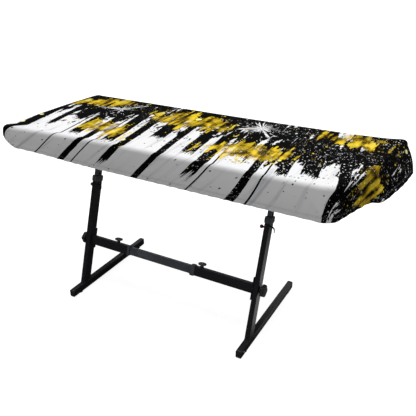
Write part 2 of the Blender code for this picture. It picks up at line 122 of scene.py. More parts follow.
# Soft creases in the flattened cloth, in plan: ridges have a rise above zero, troughs one below
Crease = namedtuple("Crease", "start_x start_y end_x end_y rise half_width")
CREASES = {
    "front_left_long": Crease(-0.700, -0.250, -0.480, -0.110, 0.0016, 0.014),
    "front_left_short": Crease(-0.712, -0.225, -0.560, -0.020, 0.0012, 0.011),
    "front_left_skirt": Crease(-0.660, -0.300, -0.560, -0.215, 0.0018, 0.012),
    "back_left_corner": Crease(-0.690, 0.325, -0.540, 0.200, 0.0013, 0.013),
    "front_right_corner": Crease(0.590, -0.215, 0.430, -0.080, 0.0015, 0.013),
    "front_right_skirt": Crease(0.560, -0.285, 0.470, -0.200, 0.0016, 0.010),
    "pinch_ridge": Crease(0.660, 0.010, 0.520, 0.120, 0.0022, 0.012),
    "pinch_trough": Crease(0.670, -0.030, 0.560, 0.040, -0.0018, 0.012),
    "flare_ridge": Crease(0.760, 0.060, 0.640, 0.130, 0.0028, 0.013),
    "back_right_long": Crease(0.700, 0.370, 0.480, 0.190, 0.0020, 0.015),
    "back_right_short": Crease(0.690, 0.300, 0.570, 0.160, 0.0014, 0.012),
    "back_right_skirt": Crease(0.600, 0.430, 0.520, 0.335, 0.0016, 0.011),
    "front_middle_skirt": Crease(-0.170, -0.280, -0.120, -0.205, 0.0010, 0.012),
    "front_right_third": Crease(0.240, -0.285, 0.300, -0.205, 0.0011, 0.013),
}

# Creases start at a share of their half width and widen by another, and the power of their fading
CREASE_START_WIDTH = 0.6
CREASE_WIDENING = 0.8
CREASE_FADE = 0.7

# Gathers along the hem: the slow waves that shift them, by size in radians, number all round and
# start, their mean depth and its spread as shares, and the power by which they fade up the skirt
GATHER_WANDER = ((1.6, 3, 0.7), (1.1, 7, 2.1))
GATHER_MEAN = 0.65
GATHER_SPREAD = 0.35
GATHER_FADE = 2.5

# Where the cloth spans past the keyboard's ends and sinks a little, in plan
Dip = namedtuple("Dip", "x y depth radius_x radius_y")
DIPS = {
    "slack_end": Dip(0.592, 0.165, 0.0034, 0.050, 0.150),
    "slack_end_front": Dip(0.570, -0.060, 0.0018, 0.030, 0.090),
}

# Black strokes of the print, from left to right: the white left before each, its width, where in
# that white a thin line runs, as a share of it (0 for no line), and where the stroke starts and
# ends from front to back
Stroke = namedtuple("Stroke", "gap width line front back")
FIRST_STROKE = -0.83
STROKES = (
    Stroke(0.023, 0.029, 0.00, -0.50, 0.50), Stroke(0.041, 0.033, 0.62, -0.15, 0.50),
    Stroke(0.027, 0.046, 0.00, -0.50, 0.17), Stroke(0.049, 0.024, 0.40, -0.12, 0.50),
    Stroke(0.032, 0.040, 0.00, -0.02, 0.50), Stroke(0.038, 0.048, 0.45, -0.16, 0.27),
    Stroke(0.029, 0.026, 0.00, -0.50, 0.10), Stroke(0.052, 0.045, 0.66, -0.17, 0.50),
    Stroke(0.027, 0.033, 0.00, -0.26, 0.16), Stroke(0.041, 0.053, 0.35, -0.06, 0.50),
    Stroke(0.035, 0.027, 0.00, -0.50, 0.21), Stroke(0.049, 0.046, 0.55, -0.14, 0.50),
    Stroke(0.029, 0.035, 0.00, -0.24, 0.08), Stroke(0.046, 0.056, 0.42, -0.09, 0.50),
    Stroke(0.035, 0.026, 0.00, -0.50, 0.04), Stroke(0.055, 0.043, 0.60, -0.17, 0.50),
    Stroke(0.032, 0.051, 0.00, -0.13, 0.31), Stroke(0.059, 0.029, 0.38, -0.50, 0.50),
    Stroke(0.041, 0.094, 0.00, -0.16, 0.50), Stroke(0.034, 0.171, 0.50, -0.50, 0.50),
)
LINE_WIDTH = 0.0028
# Metres that a stroke wanders, that its hairs reach across it and along it, and that its ends fade
STROKE_WANDER = 0.020
HAIRS_ACROSS = 0.0055
HAIRS_ALONG = 0.14
END_SOFTNESS = 0.002
RAMP_STRIPES = 15  # stripes that one colour ramp has room for
STRIPES_MARGIN = 0.01  # how far the colour ramps reach past the outer stripes
NO_STRIPE = (1.0, 0.0, 0.0)  # inked from beyond its end, so nowhere

# Washes of ink: each an uneven patch with its middle, its reach along and across, and its turn
Wash = namedtuple("Wash", "x y reach_x reach_y turn")
GOLD_WASHES = {
    "left_back": Wash(-0.560, 0.215, 0.115, 0.055, 0.35),
    "left_front": Wash(-0.330, -0.070, 0.115, 0.060, -0.30),
    "middle": Wash(-0.085, 0.160, 0.155, 0.080, -0.15),
    "right_front": Wash(0.225, -0.030, 0.135, 0.068, 0.30),
    "right_back": Wash(0.500, 0.235, 0.110, 0.065, -0.25),
    "right_end": Wash(0.660, -0.030, 0.045, 0.070, 0.10),
}
INK_WASHES = {
    "left": Wash(-0.440, 0.220, 0.320, 0.190, 0.20),
    "back_left": Wash(-0.620, 0.310, 0.200, 0.160, 0.10),
    "middle": Wash(0.090, 0.230, 0.420, 0.190, -0.12),
    "right": Wash(0.420, 0.100, 0.220, 0.160, 0.20),
    "right_end": Wash(0.680, -0.020, 0.090, 0.240, 0.00),
    "back_right": Wash(0.620, 0.280, 0.180, 0.130, 0.10),
}
WASH_TEAR = 2.6  # how raggedly the edge of a wash is torn
GOLD_MOTTLE = 1.1  # how far a mottle moves the golden washes through their tones

# White splashes: drops and rays thrown out from a middle
Splash = namedtuple("Splash", "x y reach")
SPLASHES = {
    "left": Splash(-0.430, 0.165, 0.095), "middle": Splash(0.175, 0.205, 0.115),
}

# Scattered round spots: cells for each metre, share of the cells that hold one, the largest radius
# as a share of a cell, and how soft the rim is
Spots = namedtuple("Spots", "cells share radius softness")
SPATTER = Spots(62.0, 0.50, 0.30, 0.06)
DOTS = Spots(9.0, 0.32, 0.13, 0.01)
FLECKS = (
    Spots(190.0, 0.22, 0.40, 0.10), Spots(95.0, 0.20, 0.34, 0.10), Spots(46.0, 0.10, 0.24, 0.10),
)
SPECKS = Spots(80.0, 0.12, 0.28, 0.08)
# The flecks crowd in slow patches, by how much more for each metre to the right, and from where to
# where a patch fills
CROWD_RIGHTWARDS = 0.22
CROWD_FILLS = (0.50, 0.70)

# Where the front bend starts on the flattened cloth, and where the print's slant below it starts
# and stops getting less on the way to the right
FRONT_BEND_Y = -0.180
SLANT_LESSENS = (0.0, 0.6)

SHOW_THROUGH = 0.62  # of the bare cloth's brightness, where the print shows through to its inside

# Relief of the cloth
KNIT_DEPTH = 0.00006
INNER_KNIT_DEPTH = 0.00008
FINE_GATHER_DEPTH = 0.0006
FINE_GATHER_WANDER = 9.0  # radians by which a slow noise shifts the fine gathers
FINE_GATHERS_FADE = (0.006, 0.042)  # heights above the hem between which the fine gathers fade
WAVE_SCALE = 6.283  # a wave texture of scale 1 has about this many waves for each metre

# How much brighter the light patches of a plain finish are, how much rougher dust makes it, and the
# scale of its slow variation as a share of its grain's
LIGHTER = 1.5
DUST_ROUGHENS = 0.5
SLOW_SCALE = 0.02

# Plain finishes: colour, the shade that wear and dust bring, roughness and its spread, metallic,
# gloss, coat, the grain's scale and depth, and how much scuffs and dust show
Finish = namedtuple(
    "Finish", "colour worn dusty roughness spread metallic gloss coat grain depth scuffs dust"
)
FINISHES = {
    "black_steel": Finish(
        (0.0070, 0.0070, 0.0075), (0.06, 0.06, 0.06), (0.12, 0.12, 0.115),
        0.27, 0.08, 0.0, 0.32, 0.0, 1400.0, 0.00008, 0.30, 0.07,
    ),
    "inner_steel": Finish(
        (0.060, 0.066, 0.077), (0.10, 0.10, 0.10), (0.15, 0.15, 0.145),
        0.42, 0.10, 0.0, 0.34, 0.0, 1400.0, 0.00010, 0.45, 0.12,
    ),
    "black_plastic": Finish(
        (0.007, 0.007, 0.0075), (0.06, 0.06, 0.06), (0.13, 0.13, 0.125),
        0.30, 0.10, 0.0, 0.50, 0.0, 1100.0, 0.00008, 0.25, 0.20,
    ),
    "black_rubber": Finish(
        (0.012, 0.012, 0.012), (0.05, 0.05, 0.05), (0.17, 0.165, 0.155),
        0.80, 0.12, 0.0, 0.30, 0.0, 700.0, 0.00014, 0.30, 0.40,
    ),
    "grey_plastic": Finish(
        (0.070, 0.080, 0.100), (0.15, 0.15, 0.15), (0.20, 0.20, 0.20),
        0.42, 0.10, 0.0, 0.40, 0.0, 1100.0, 0.00010, 0.25, 0.25,
    ),
    "keyboard_plastic": Finish(
        (0.022, 0.022, 0.024), (0.08, 0.08, 0.08), (0.12, 0.12, 0.12),
        0.50, 0.08, 0.0, 0.35, 0.0, 1500.0, 0.00012, 0.20, 0.15,
    ),
    "red_plastic": Finish(
        (0.95, 0.160, 0.220), (0.85, 0.40, 0.42), (0.60, 0.35, 0.35),
        0.25, 0.06, 0.0, 0.60, 0.5, 600.0, 0.00004, 0.30, 0.10,
    ),
    "zinc_steel": Finish(
        (0.50, 0.50, 0.49), (0.72, 0.72, 0.72), (0.30, 0.29, 0.27),
        0.30, 0.14, 1.0, 0.50, 0.0, 900.0, 0.00005, 0.50, 0.15,
    ),
    # Painted shade: the near-black discs of the holes, where the tube's dark inside would be seen
    "hole_shadow": Finish(
        (0.002, 0.002, 0.002), (0.004, 0.004, 0.004), (0.006, 0.006, 0.006),
        0.90, 0.05, 0.0, 0.05, 0.0, 800.0, 0.00005, 0.10, 0.10,
    ),
    "sewing_thread": Finish(
        (0.20, 0.20, 0.205), (0.30, 0.30, 0.30), (0.30, 0.30, 0.30),
        0.70, 0.10, 0.0, 0.25, 0.0, 2600.0, 0.00008, 0.20, 0.10,
    ),
}

COLLAR_HEIGHT = 0.0207  # of a column's collar, measured upright

# Degrees past which an edge stays sharp
SHARP_EDGE = 38
BALL_SHARP_EDGE = 60
LEVER_SHARP_EDGE = 50

# A moulded band: share of its length, how far it stands out past the tube, and its corner radius
BandLevel = namedtuple("BandLevel", "share proud corner")
COLLAR_LEVELS = (
    BandLevel(0.00, 0.0010, 0.0030), BandLevel(0.06, 0.0019, 0.0036), BandLevel(0.24, 0.0024, 0.0042),
    BandLevel(0.40, 0.0027, 0.0046), BandLevel(0.46, 0.0027, 0.0046), BandLevel(0.49, 0.0022, 0.0042),
    BandLevel(0.52, 0.0022, 0.0042), BandLevel(0.55, 0.0027, 0.0046), BandLevel(0.64, 0.0027, 0.0046),
    BandLevel(0.80, 0.0023, 0.0042), BandLevel(0.93, 0.0017, 0.0036), BandLevel(0.98, 0.0009, 0.0030),
    BandLevel(1.00, 0.0001, 0.0024),
)

# A turned piece: height above its seat, radius, and how far its lobes or ridges stand out
Turned = namedtuple("Turned", "height radius ridge", defaults=(0.0,))
BAR_KNOB_LEVELS = (
    Turned(0.0000, 0.0063), Turned(0.0070, 0.0063), Turned(0.0080, 0.0078), Turned(0.0086, 0.0122),
    Turned(0.0092, 0.0134, 0.0002), Turned(0.0102, 0.0142, 0.0004), Turned(0.0122, 0.0143, 0.0004),
    Turned(0.0138, 0.0141, 0.0004), Turned(0.0147, 0.0134, 0.0002), Turned(0.0153, 0.0123),
    Turned(0.0155, 0.0108), Turned(0.0154, 0.0098), Turned(0.0148, 0.0092), Turned(0.0148, 0.0060),
    Turned(0.0153, 0.0054), Turned(0.0155, 0.0030), Turned(0.0155, 0.0006),
)
BAR_KNOB_RIDGES = 20
BAR_KNOB_SIDES = 80
SEAT_GAP = 0.0003  # between a knob and what it is seated on
END_KNOB_LEVELS = (
    Turned(0.0000, 0.0098), Turned(0.0044, 0.0098), Turned(0.0050, 0.0104),
    Turned(0.0052, 0.0152, 0.0007), Turned(0.0058, 0.0188, 0.0015), Turned(0.0072, 0.0200, 0.0019),
    Turned(0.0120, 0.0202, 0.0020), Turned(0.0165, 0.0200, 0.0019), Turned(0.0184, 0.0190, 0.0017),
    Turned(0.0194, 0.0174, 0.0013), Turned(0.0199, 0.0150, 0.0006), Turned(0.0199, 0.0130, 0.0001),
    Turned(0.0184, 0.0118), Turned(0.0180, 0.0096), Turned(0.0180, 0.0074), Turned(0.0195, 0.0068),
    Turned(0.0199, 0.0042), Turned(0.0200, 0.0006),
)
END_KNOB_LOBES = 5
END_KNOB_SIDES = 60

PIN_STEM_LEVELS = (
    Turned(0.0000, 0.0056), Turned(0.0010, 0.0056), Turned(0.0014, 0.0050), Turned(0.0018, 0.0035),
    Turned(0.0040, 0.0034), Turned(0.0043, 0.0029), Turned(0.0047, 0.0029), Turned(0.0050, 0.0034),
    Turned(0.0070, 0.0034),
)
PIN_STEM_SIDES = 24
# Rings of a ball, and where they start and how far they go, as shares of a half turn
BALL_STEPS = 16
BALL_START = 0.06
BALL_SPAN = 0.935
LEVER_SECTIONS = 14
LEVER_SIDES = 12
# Handles of the lever's curve, as far out, forward and down as the lever reaches
LEVER_HANDLES = ((0.0, 0.0, 0.0), (1.0, 0.0, 0.0), (1.0, 1.0, 0.5), (1.0, 1.0, 1.0))
LEVER_HALF_WIDTHS = (0.0034, 0.0022)  # at its root and at its tip
LEVER_HALF_THICKNESSES = (0.0023, 0.0013)
LEVER_TIP_START = 0.85  # share of the lever at which it starts to close
LEVER_TIP_SPAN = 0.16

# An end cap, from its inner face outwards: share of its length, and how far in from its outline
CapLevel = namedtuple("CapLevel", "share inset")
CAP_LEVELS = (
    CapLevel(0.00, 0.0), CapLevel(0.72, 0.0), CapLevel(0.86, 0.0003), CapLevel(0.96, 0.0009),
    CapLevel(1.00, 0.0018), CapLevel(1.00, 0.0030), CapLevel(0.94, 0.0034), CapLevel(0.80, 0.0036),
)
CAP_CORNER = 0.0038
CAP_LEAST_CORNER = 0.0012
SCREW_LEVELS = (
    Turned(0.0000, 0.0032), Turned(0.0008, 0.0032), Turned(0.0016, 0.0028), Turned(0.0022, 0.0022),
    Turned(0.0024, 0.0019),
)
SCREW_SOCKET = Turned(0.0010, 0.0016)
SCREW_SIDES = 24

# Welds and holes: length of a bead in pitches, the corner radius of a weld's path, and the sides
# and thickness of the disc that a hole is
WELD_BEAD_PITCHES = 2.2
WELD_CORNER = 0.002
HOLE_SIDES = 20
HOLE_DISC_THICKNESS = 0.0005
LOWEST_HOLE = 0.7  # of a pitch above the lower end of the inner tube

# The stage: the floor, and the spread and tilt of the light from above
FLOOR_REACH = 60.0
FLOOR_MOTTLE = 0.985  # how bright the darker patches of the floor are, as a share
SUN_SPREAD = math.radians(70)
SUN_TILT = (math.radians(-14), math.radians(-6), 0.0)
# Where the floor starts and stops to shine in reflections: outwards, and from the left and front
LIT_OUT_TO = (0.95, 0.45)
LIT_FROM_X = (0.36, 0.42)
LIT_FROM_Y = (-0.24, -0.12)
# What reflections see all round, by heading: a backdrop low at the back, and a lamp in front
BACKDROP_FROM_Y = (0.2, 0.6)
BACKDROP_BELOW_Z = (0.24, 0.06)
LAMP_AHEAD = Vector((0.0, -0.7, 0.7)).normalized()
LAMP_RIM = (0.92, 0.97)


def settings_of(name):
    """The property group that holds the sizes and colours of one group of pieces."""
    return getattr(bpy.context.scene, name)


def length_setting(name, description, default, low, high):
    """A setting in metres."""
    return bpy.props.FloatProperty(
        name=name, description=description, default=default, min=low, max=high, precision=4,
        unit="LENGTH",
    )


def amount_setting(name, description, default, low=0.0, high=10.0):
    """A setting that is a plain number."""
    return bpy.props.FloatProperty(
        name=name, description=description, default=default, min=low, max=high,
    )


def angle_setting(name, description, degrees):
    """A setting that is an angle."""
    return bpy.props.FloatProperty(
        name=name, description=description, default=math.radians(degrees), subtype="ANGLE",
    )


def colour_setting(name, description, *default):
    """A setting that is a colour."""
    return bpy.props.FloatVectorProperty(
        name=name, description=description, default=default, subtype="COLOR",
    )


class CoverSettings(bpy.types.PropertyGroup):
    """Sizes and colours of the cloth."""

    thickness: length_setting("Cloth thickness", "Thickness of the cloth", 0.0012, 0.0005, 0.002)
    fold_radius: length_setting(
        "Fold radius", "Radius of the bend between the top and the skirt", 0.016, 0.004, 0.02,
    )
    hem_lip: length_setting("Hem lip", "How far the drawn-in hem turns under", 0.009, 0.002, 0.02)
    gather_depth: length_setting(
        "Gather depth", "Depth of the soft gathers along the hem", 0.0011, 0.0, 0.004,
    )
    gather_pitch: length_setting(
        "Gather pitch", "Length of hem that one soft gather takes", 0.042, 0.03, 0.1,
    )
    fine_pitch: length_setting(
        "Fine gather pitch", "Length of hem that one fine gather takes", 0.0075, 0.003, 0.02,
    )
    knit_pitch: length_setting("Knit pitch", "Width of one column of the knit", 0.0011, 0.0005, 0.003)
    design_turn: angle_setting("Turn of the design", "Angle of the bands to the cover's short side", 9)
    left_slant: amount_setting(
        "Slant at the left",
        "How far the print leans to the left for each metre down the front skirt", 1.1,
    )
    right_slant: amount_setting(
        "Slant at the right", "The same at the right end of the front skirt", 0.3,
    )
    white: colour_setting("White", "Bare cloth", 0.86, 0.86, 0.87)
    silver: colour_setting("Silver", "Cool shade in the white bands", 0.34, 0.35, 0.40)
    black: colour_setting("Black", "Black ink", 0.0015, 0.0015, 0.0018)
    gold: colour_setting("Gold", "Golden ink", 0.88, 0.65, 0.030)
    deep_gold: colour_setting("Deep gold", "Golden ink on its way to bronze", 0.62, 0.40, 0.010)
    bronze: colour_setting("Bronze", "Dark golden ink", 0.25, 0.165, 0.010)
    pale: colour_setting("Pale yellow", "Pale ink of the dots", 0.95, 0.90, 0.34)


class StitchSettings(bpy.types.PropertyGroup):
    """Sizes of the hem's stitches."""

    pitch: length_setting("Stitch pitch", "From one stitch to the next", 0.0044, 0.002, 0.01)
    length: length_setting("Stitch length", "Length of one stitch", 0.0034, 0.001, 0.008)
    thickness: length_setting(
        "Thread thickness", "Thickness of the sewing thread", 0.0006, 0.0002, 0.002,
    )


class StandSettings(bpy.types.PropertyGroup):
    """Sizes of the details that are added to the stand."""

    weld_pitch: length_setting(
        "Weld pitch", "From one ripple of a weld to the next", 0.0016, 0.0008, 0.004,
    )
    weld_width: length_setting("Weld width", "Width of a weld bead", 0.0030, 0.001, 0.006)
    hole_radius: length_setting(
        "Hole radius", "Radius of the holes that the pull pin catches in", 0.0036, 0.002, 0.006,
    )
    hole_pitch: length_setting(
        "Hole pitch", "From one hole to the next, up the inner tube", 0.0150, 0.01, 0.04,
    )
    hole_count: bpy.props.IntProperty(
        name="Holes", description="Holes that show on each inner tube", default=3, min=1, max=4,
    )


class StageSettings(bpy.types.PropertyGroup):
    """The camera, the floor and the light."""

    lens: amount_setting(
        "Lens", "Focal length on a sensor 36 mm wide, in millimetres", 46.9, 10.0, 200.0,
    )
    camera_place: bpy.props.FloatVectorProperty(
        name="Camera", description="Where the camera stands, in plan", subtype="XYZ",
        unit="LENGTH", default=(0.9217, -1.5535, 1.22),
    )
    pitch: angle_setting("Pitch", "How far the camera looks down", 26.34)
    yaw: angle_setting("Yaw", "How far the camera looks to the left of the +Y axis", 28.92)
    floor: colour_setting("Floor", "Colour of the floor", 0.40, 0.40, 0.40)
    glow: amount_setting("Floor glow", "Light that the floor itself gives to the camera", 0.9)
    sun: amount_setting("Overhead light", "Strength of the broad light from above", 3.0)
    surround: amount_setting("Surrounding light", "Strength of the light from all round", 0.20)
    dim: amount_setting("Dim reflection", "How bright the dark of the room looks in gloss", 0.03)
    floor_gloss: amount_setting(
        "Reflected floor", "How bright the floor by the stand looks in gloss", 1.1,
    )
    back_gloss: amount_setting("Reflected backdrop", "How bright the backdrop looks in gloss", 0.8)
    lamp_gloss: amount_setting("Reflected lamp", "How bright the lamp in front looks in gloss", 2.0)


FLOAT = "NodeSocketFloat"
VECTOR = "NodeSocketVector"
GEOMETRY = "NodeSocketGeometry"
MATERIAL = "NodeSocketMaterial"


class Web:
    """Adds nodes to a tree, links them, and lays them out in columns."""

    COLUMN = 180
    ROW = -220
    ROWS = 5

    def __init__(self, tree):
        self.tree = tree

    def add(self, kind, inputs=None, out=0, **options):
        """Adds a node and returns one of its outputs. Inputs are values or other outputs."""
        node = self.tree.nodes.new(kind)
        count = len(self.tree.nodes)
        node.location = (count // self.ROWS * self.COLUMN, count % self.ROWS * self.ROW)
        for option, value in options.items():
            setattr(node, option, value)
        for key, value in (inputs or {}).items():
            if isinstance(value, bpy.types.NodeSocket):
                self.tree.links.new(value, node.inputs[key])
            else:
                node.inputs[key].default_value = value
        return node.outputs[out]

    def group(self, name, inputs):
        """Places a shared effect."""
        return self.add("ShaderNodeGroup", inputs, node_tree=node_group(name))

    def number(self, operation, *values, clamp=False):
        """A Math node of the tree's own kind."""
        return self.add("ShaderNodeMath", dict(enumerate(values)), operation=operation, use_clamp=clamp)

    def plus(self, *values, clamp=False):
        return self.number("ADD", *values, clamp=clamp)

    def minus(self, *values):
        return self.number("SUBTRACT", *values)

    def times(self, *values, clamp=False):
        return self.number("MULTIPLY", *values, clamp=clamp)

    def most(self, *values):
        """The largest of some values."""
        largest = values[0]
        for value in values[1:]:
            largest = self.number("MAXIMUM", largest, value)
        return largest

    def centred(self, value, reach):
        """Spreads a value from 0 to 1 evenly about zero."""
        return self.times(self.minus(value, 0.5), reach)

    def vector(self, operation, *values, out="Vector"):
        """A Vector Math node. Its output Value holds a length or a dot product."""
        inputs = dict(enumerate(values))
        return self.add("ShaderNodeVectorMath", inputs, out, operation=operation)

    def scaled(self, vector, factor):
        """A vector times a number."""
        inputs = {0: vector, "Scale": factor}
        return self.add("ShaderNodeVectorMath", inputs, operation="SCALE")

    def part(self, vector, axis):
        """One of the three numbers of a vector."""
        return self.add("ShaderNodeSeparateXYZ", {0: vector}, axis)

    def channel(self, colour, name):
        """One of the three numbers of a colour."""
        return self.add("ShaderNodeSeparateColor", {0: colour}, name)

    def mix(self, mask, under, over):
        """Lays one colour over another where the mask is white."""
        return self.add("ShaderNodeMix", {0: mask, 6: under, 7: over}, 2, data_type="RGBA")

    def noise(self, vector, scale, detail=3.0, roughness=0.5, distortion=0.0):
        """Cloudy noise from 0 to 1."""
        inputs = {
            "Vector": vector, "Scale": scale, "Detail": detail, "Roughness": roughness,
            "Distortion": distortion,
        }
        return self.add("ShaderNodeTexNoise", inputs)

    def stretch(self, vector, scale=(1, 1, 1), place=(0, 0, 0), turn=0.0):
        """Moves, turns and stretches a pattern."""
        inputs = {"Vector": vector, "Location": place, "Rotation": (0, 0, turn), "Scale": scale}
        return self.add("ShaderNodeMapping", inputs)

    def streaks(self, vector, fine, coarse, turn=0.0, detail=3.0, roughness=0.5, place=(0, 0, 0)):
        """Noise drawn out into streaks, finer across them than along them."""
        return self.noise(self.stretch(vector, (fine, coarse, 1), place, turn), 1.0, detail, roughness)

    def step(self, value, low, high):
        """Rises smoothly from 0 to 1 between two values."""
        inputs = {"Value": value, "From Min": low, "From Max": high}
        return self.add("ShaderNodeMapRange", inputs, interpolation_type="SMOOTHSTEP")

    def span(self, value, low, high):
        """Spreads a value from 0 to 1 over a range."""
        return self.add("ShaderNodeMapRange", {"Value": value, "To Min": low, "To Max": high})

    def ramp(self, value, stops, interpolation="LINEAR"):
        """A colour for each value, from a list of places and colours."""
        output = self.add("ShaderNodeValToRGB", {"Fac": value})
        ramp = output.node.color_ramp
        ramp.interpolation = interpolation
        while len(ramp.elements) < len(stops):
            ramp.elements.new(1.0)
        for element, (place, colour) in zip(ramp.elements, stops, strict=True):
            element.position = place
            element.color = (*colour, 1.0)
        return output

    def bump(self, height, strength, distance, normal=None):
        """A normal tilted by a height, on top of another normal if one is given."""
        inputs = {"Height": height, "Strength": strength, "Distance": distance}
        if normal is not None:
            inputs["Normal"] = normal
        return self.add("ShaderNodeBump", inputs)


def grain_effect(web, given):
    """Fine grain of a moulded or painted surface: a height, and a slow variation from 0 to 1."""
    height = web.noise(given["Vector"], given["Scale"], detail=2.0, roughness=0.6)
    slow = web.noise(given["Vector"], web.times(given["Scale"], SLOW_SCALE))
    return height, web.step(slow, 0.3, 0.7)


def scuff_effect(web, given):
    """Short thin scratches and rubbed spots, as a mask."""
    masks = []
    for turn, length in ((0.4, 14.0), (-0.9, 22.0)):
        drawn = web.stretch(given["Vector"], (length, 420.0, 260.0), turn=turn)
        masks.append(web.step(web.noise(drawn, 1.0, detail=2.0), 0.70, 0.78))
    where = web.step(web.noise(given["Vector"], 16.0, detail=4.0), 0.48, 0.68)
    return web.times(web.times(web.most(*masks), where), given["Amount"], clamp=True)


def dust_effect(web, given):
    """Thin dust on surfaces that face up, as a mask."""
    up = web.part(web.add("ShaderNodeNewGeometry", out="Normal"), "Z")
    patches = web.step(web.noise(given["Vector"], 34.0, detail=5.0, roughness=0.65), 0.35, 0.75)
    return web.times(web.times(web.step(up, 0.2, 1.0), patches), given["Amount"], clamp=True)


def spots_effect(web, given):
    """Round spots of uneven size, scattered one to a cell, as a mask."""
    sockets = {"Vector": given["Vector"], "Scale": given["Cells per metre"], "Randomness": 0.85}
    far = web.add("ShaderNodeTexVoronoi", sockets, "Distance", voronoi_dimensions="2D")
    cell = far.node.outputs["Color"]
    largest = given["Largest radius"]
    size = web.number("POWER", web.channel(cell, "Green"), 2.0)
    radius = web.plus(web.times(size, largest), web.times(largest, 0.15))
    edge = web.number("DIVIDE", web.minus(radius, far), given["Softness"], clamp=True)
    chosen = web.number("LESS_THAN", web.channel(cell, "Red"), given["Share of cells"])
    return web.times(edge, chosen)


def wash_effect(web, given):
    """How near a point is to the middle of a patch: 1 in the middle, 0 at its rim, and then below."""
    sockets = {
        "Vector": given["Vector"], "Location": given["Middle"], "Rotation": given["Turn"],
        "Scale": given["Reach"],
    }
    inside = web.add("ShaderNodeMapping", sockets, vector_type="TEXTURE")
    return web.minus(1.0, web.vector("LENGTH", inside, out="Value"))


def splash_effect(web, given):
    """A blot with rays and drops thrown out from it, as a mask."""
    away = web.vector("SUBTRACT", given["Vector"], given["Middle"])
    heading = web.vector("NORMALIZE", away)
    seed = web.scaled(given["Middle"], 40.0)
    # How far the splash is thrown differs from side to side
    sides = web.noise(web.vector("ADD", heading, seed), 0.9, detail=1.0)
    sides = web.step(sides, 0.30, 0.70)
    thrown = web.times(given["Reach"], web.span(sides, 0.35, 1.5))
    reach = web.number("DIVIDE", web.vector("LENGTH", away, out="Value"), thrown)
    # A ring of directions, with the distance as its third side, has no seam
    lift = web.add("ShaderNodeCombineXYZ", {"Z": web.times(reach, 0.9)})
    place = web.vector("ADD", web.vector("ADD", heading, lift), seed)
    rays = web.noise(web.stretch(place, (1.0, 1.0, 0.30)), 6.0, detail=4.0, roughness=0.6)
    rays = web.step(web.minus(rays, web.span(reach, 0.44, 0.70)), 0.0, 0.03)
    cells = {"Vector": place, "Scale": 10.0, "Randomness": 1.0}
    apart = web.add("ShaderNodeTexVoronoi", cells, "Distance")
    pick = web.number("POWER", web.channel(apart.node.outputs["Color"], "Red"), 2.4)
    size = web.minus(web.span(pick, 0.08, 0.50), web.times(reach, 0.12))
    drops = web.step(web.minus(size, apart), 0.0, 0.04)
    return web.times(web.most(rays, drops), web.step(reach, 1.5, 1.1))


def beads_shape(web, given):
    """Small rounded beads, long or short, in a row along each chain of edges."""
    curve = web.add("GeometryNodeMeshToCurve", {0: given["Path"]})
    sockets = {"Curve": curve, "Length": given["Pitch"]}
    spaced = web.add("GeometryNodeResampleCurve", sockets, mode="LENGTH")
    bead = web.add("GeometryNodeMeshUVSphere", {"Segments": 6, "Rings": 4, "Radius": 0.5})
    smooth = web.add("GeometryNodeSetShadeSmooth", {"Geometry": bead})
    tangent = web.add("GeometryNodeInputTangent")
    along = web.add("FunctionNodeAlignRotationToVector", {"Vector": tangent}, axis="X")
    sockets = {"X": given["Length"], "Y": given["Width"], "Z": given["Width"]}
    size = web.add("ShaderNodeCombineXYZ", sockets)
    low = web.minus(1.0, given["Unevenness"])
    high = web.plus(1.0, given["Unevenness"])
    # A Random Value node of floats reads its sockets 2 and 3, and gives its output 1
    uneven = web.add("FunctionNodeRandomValue", {2: low, 3: high, "Seed": 7}, 1)
    sockets = {
        "Points": spaced, "Instance": smooth, "Rotation": along, "Scale": web.scaled(size, uneven),
    }
    return painted(web, sockets, given["Finish"])


def holes_shape(web, given):
    """A row of round holes with a rim, upwards from each point of a mesh."""
    sockets = {"Count": given["Count"], "Offset": given["Step"]}
    line = web.add("GeometryNodeMeshLine", sockets, mode="OFFSET")
    rows = web.add("GeometryNodeInstanceOnPoints", {"Points": given["Starts"], "Instance": line})
    places = web.add("GeometryNodeRealizeInstances", {0: rows})
    sockets = {"Vertices": HOLE_SIDES, "Radius": given["Radius"], "Depth": HOLE_DISC_THICKNESS}
    disc = web.add("GeometryNodeMeshCylinder", sockets)
    sockets = {"Resolution": HOLE_SIDES, "Radius": given["Radius"]}
    circle = web.add("GeometryNodeCurvePrimitiveCircle", sockets)
    profile = web.add("GeometryNodeCurvePrimitiveCircle", {"Resolution": 6, "Radius": given["Rim"]})
    rim = web.add("GeometryNodeCurveToMesh", {"Curve": circle, "Profile Curve": profile})
    rim = web.add("GeometryNodeSetShadeSmooth", {"Geometry": rim})
    joined = web.tree.nodes.new("GeometryNodeJoinGeometry")
    # The hole's disc is near-black painted shade; the rim is steel
    for shape, material in ((disc, "Painted hole shade"), (rim, "Rim finish")):
        sockets = {"Geometry": shape, "Rotation": (0.0, math.pi / 2, 0.0)}
        sideways = web.add("GeometryNodeTransform", sockets)
        sockets = {"Points": places, "Instance": sideways}
        web.tree.links.new(painted(web, sockets, given[material]), joined.inputs[0])
    return joined.outputs[0]


def painted(web, sockets, material):
    """Instances on points, made real and given a material."""
    row = web.add("GeometryNodeInstanceOnPoints", sockets)
    real = web.add("GeometryNodeRealizeInstances", {0: row})
    return web.add("GeometryNodeSetMaterial", {"Geometry": real, "Material": material})


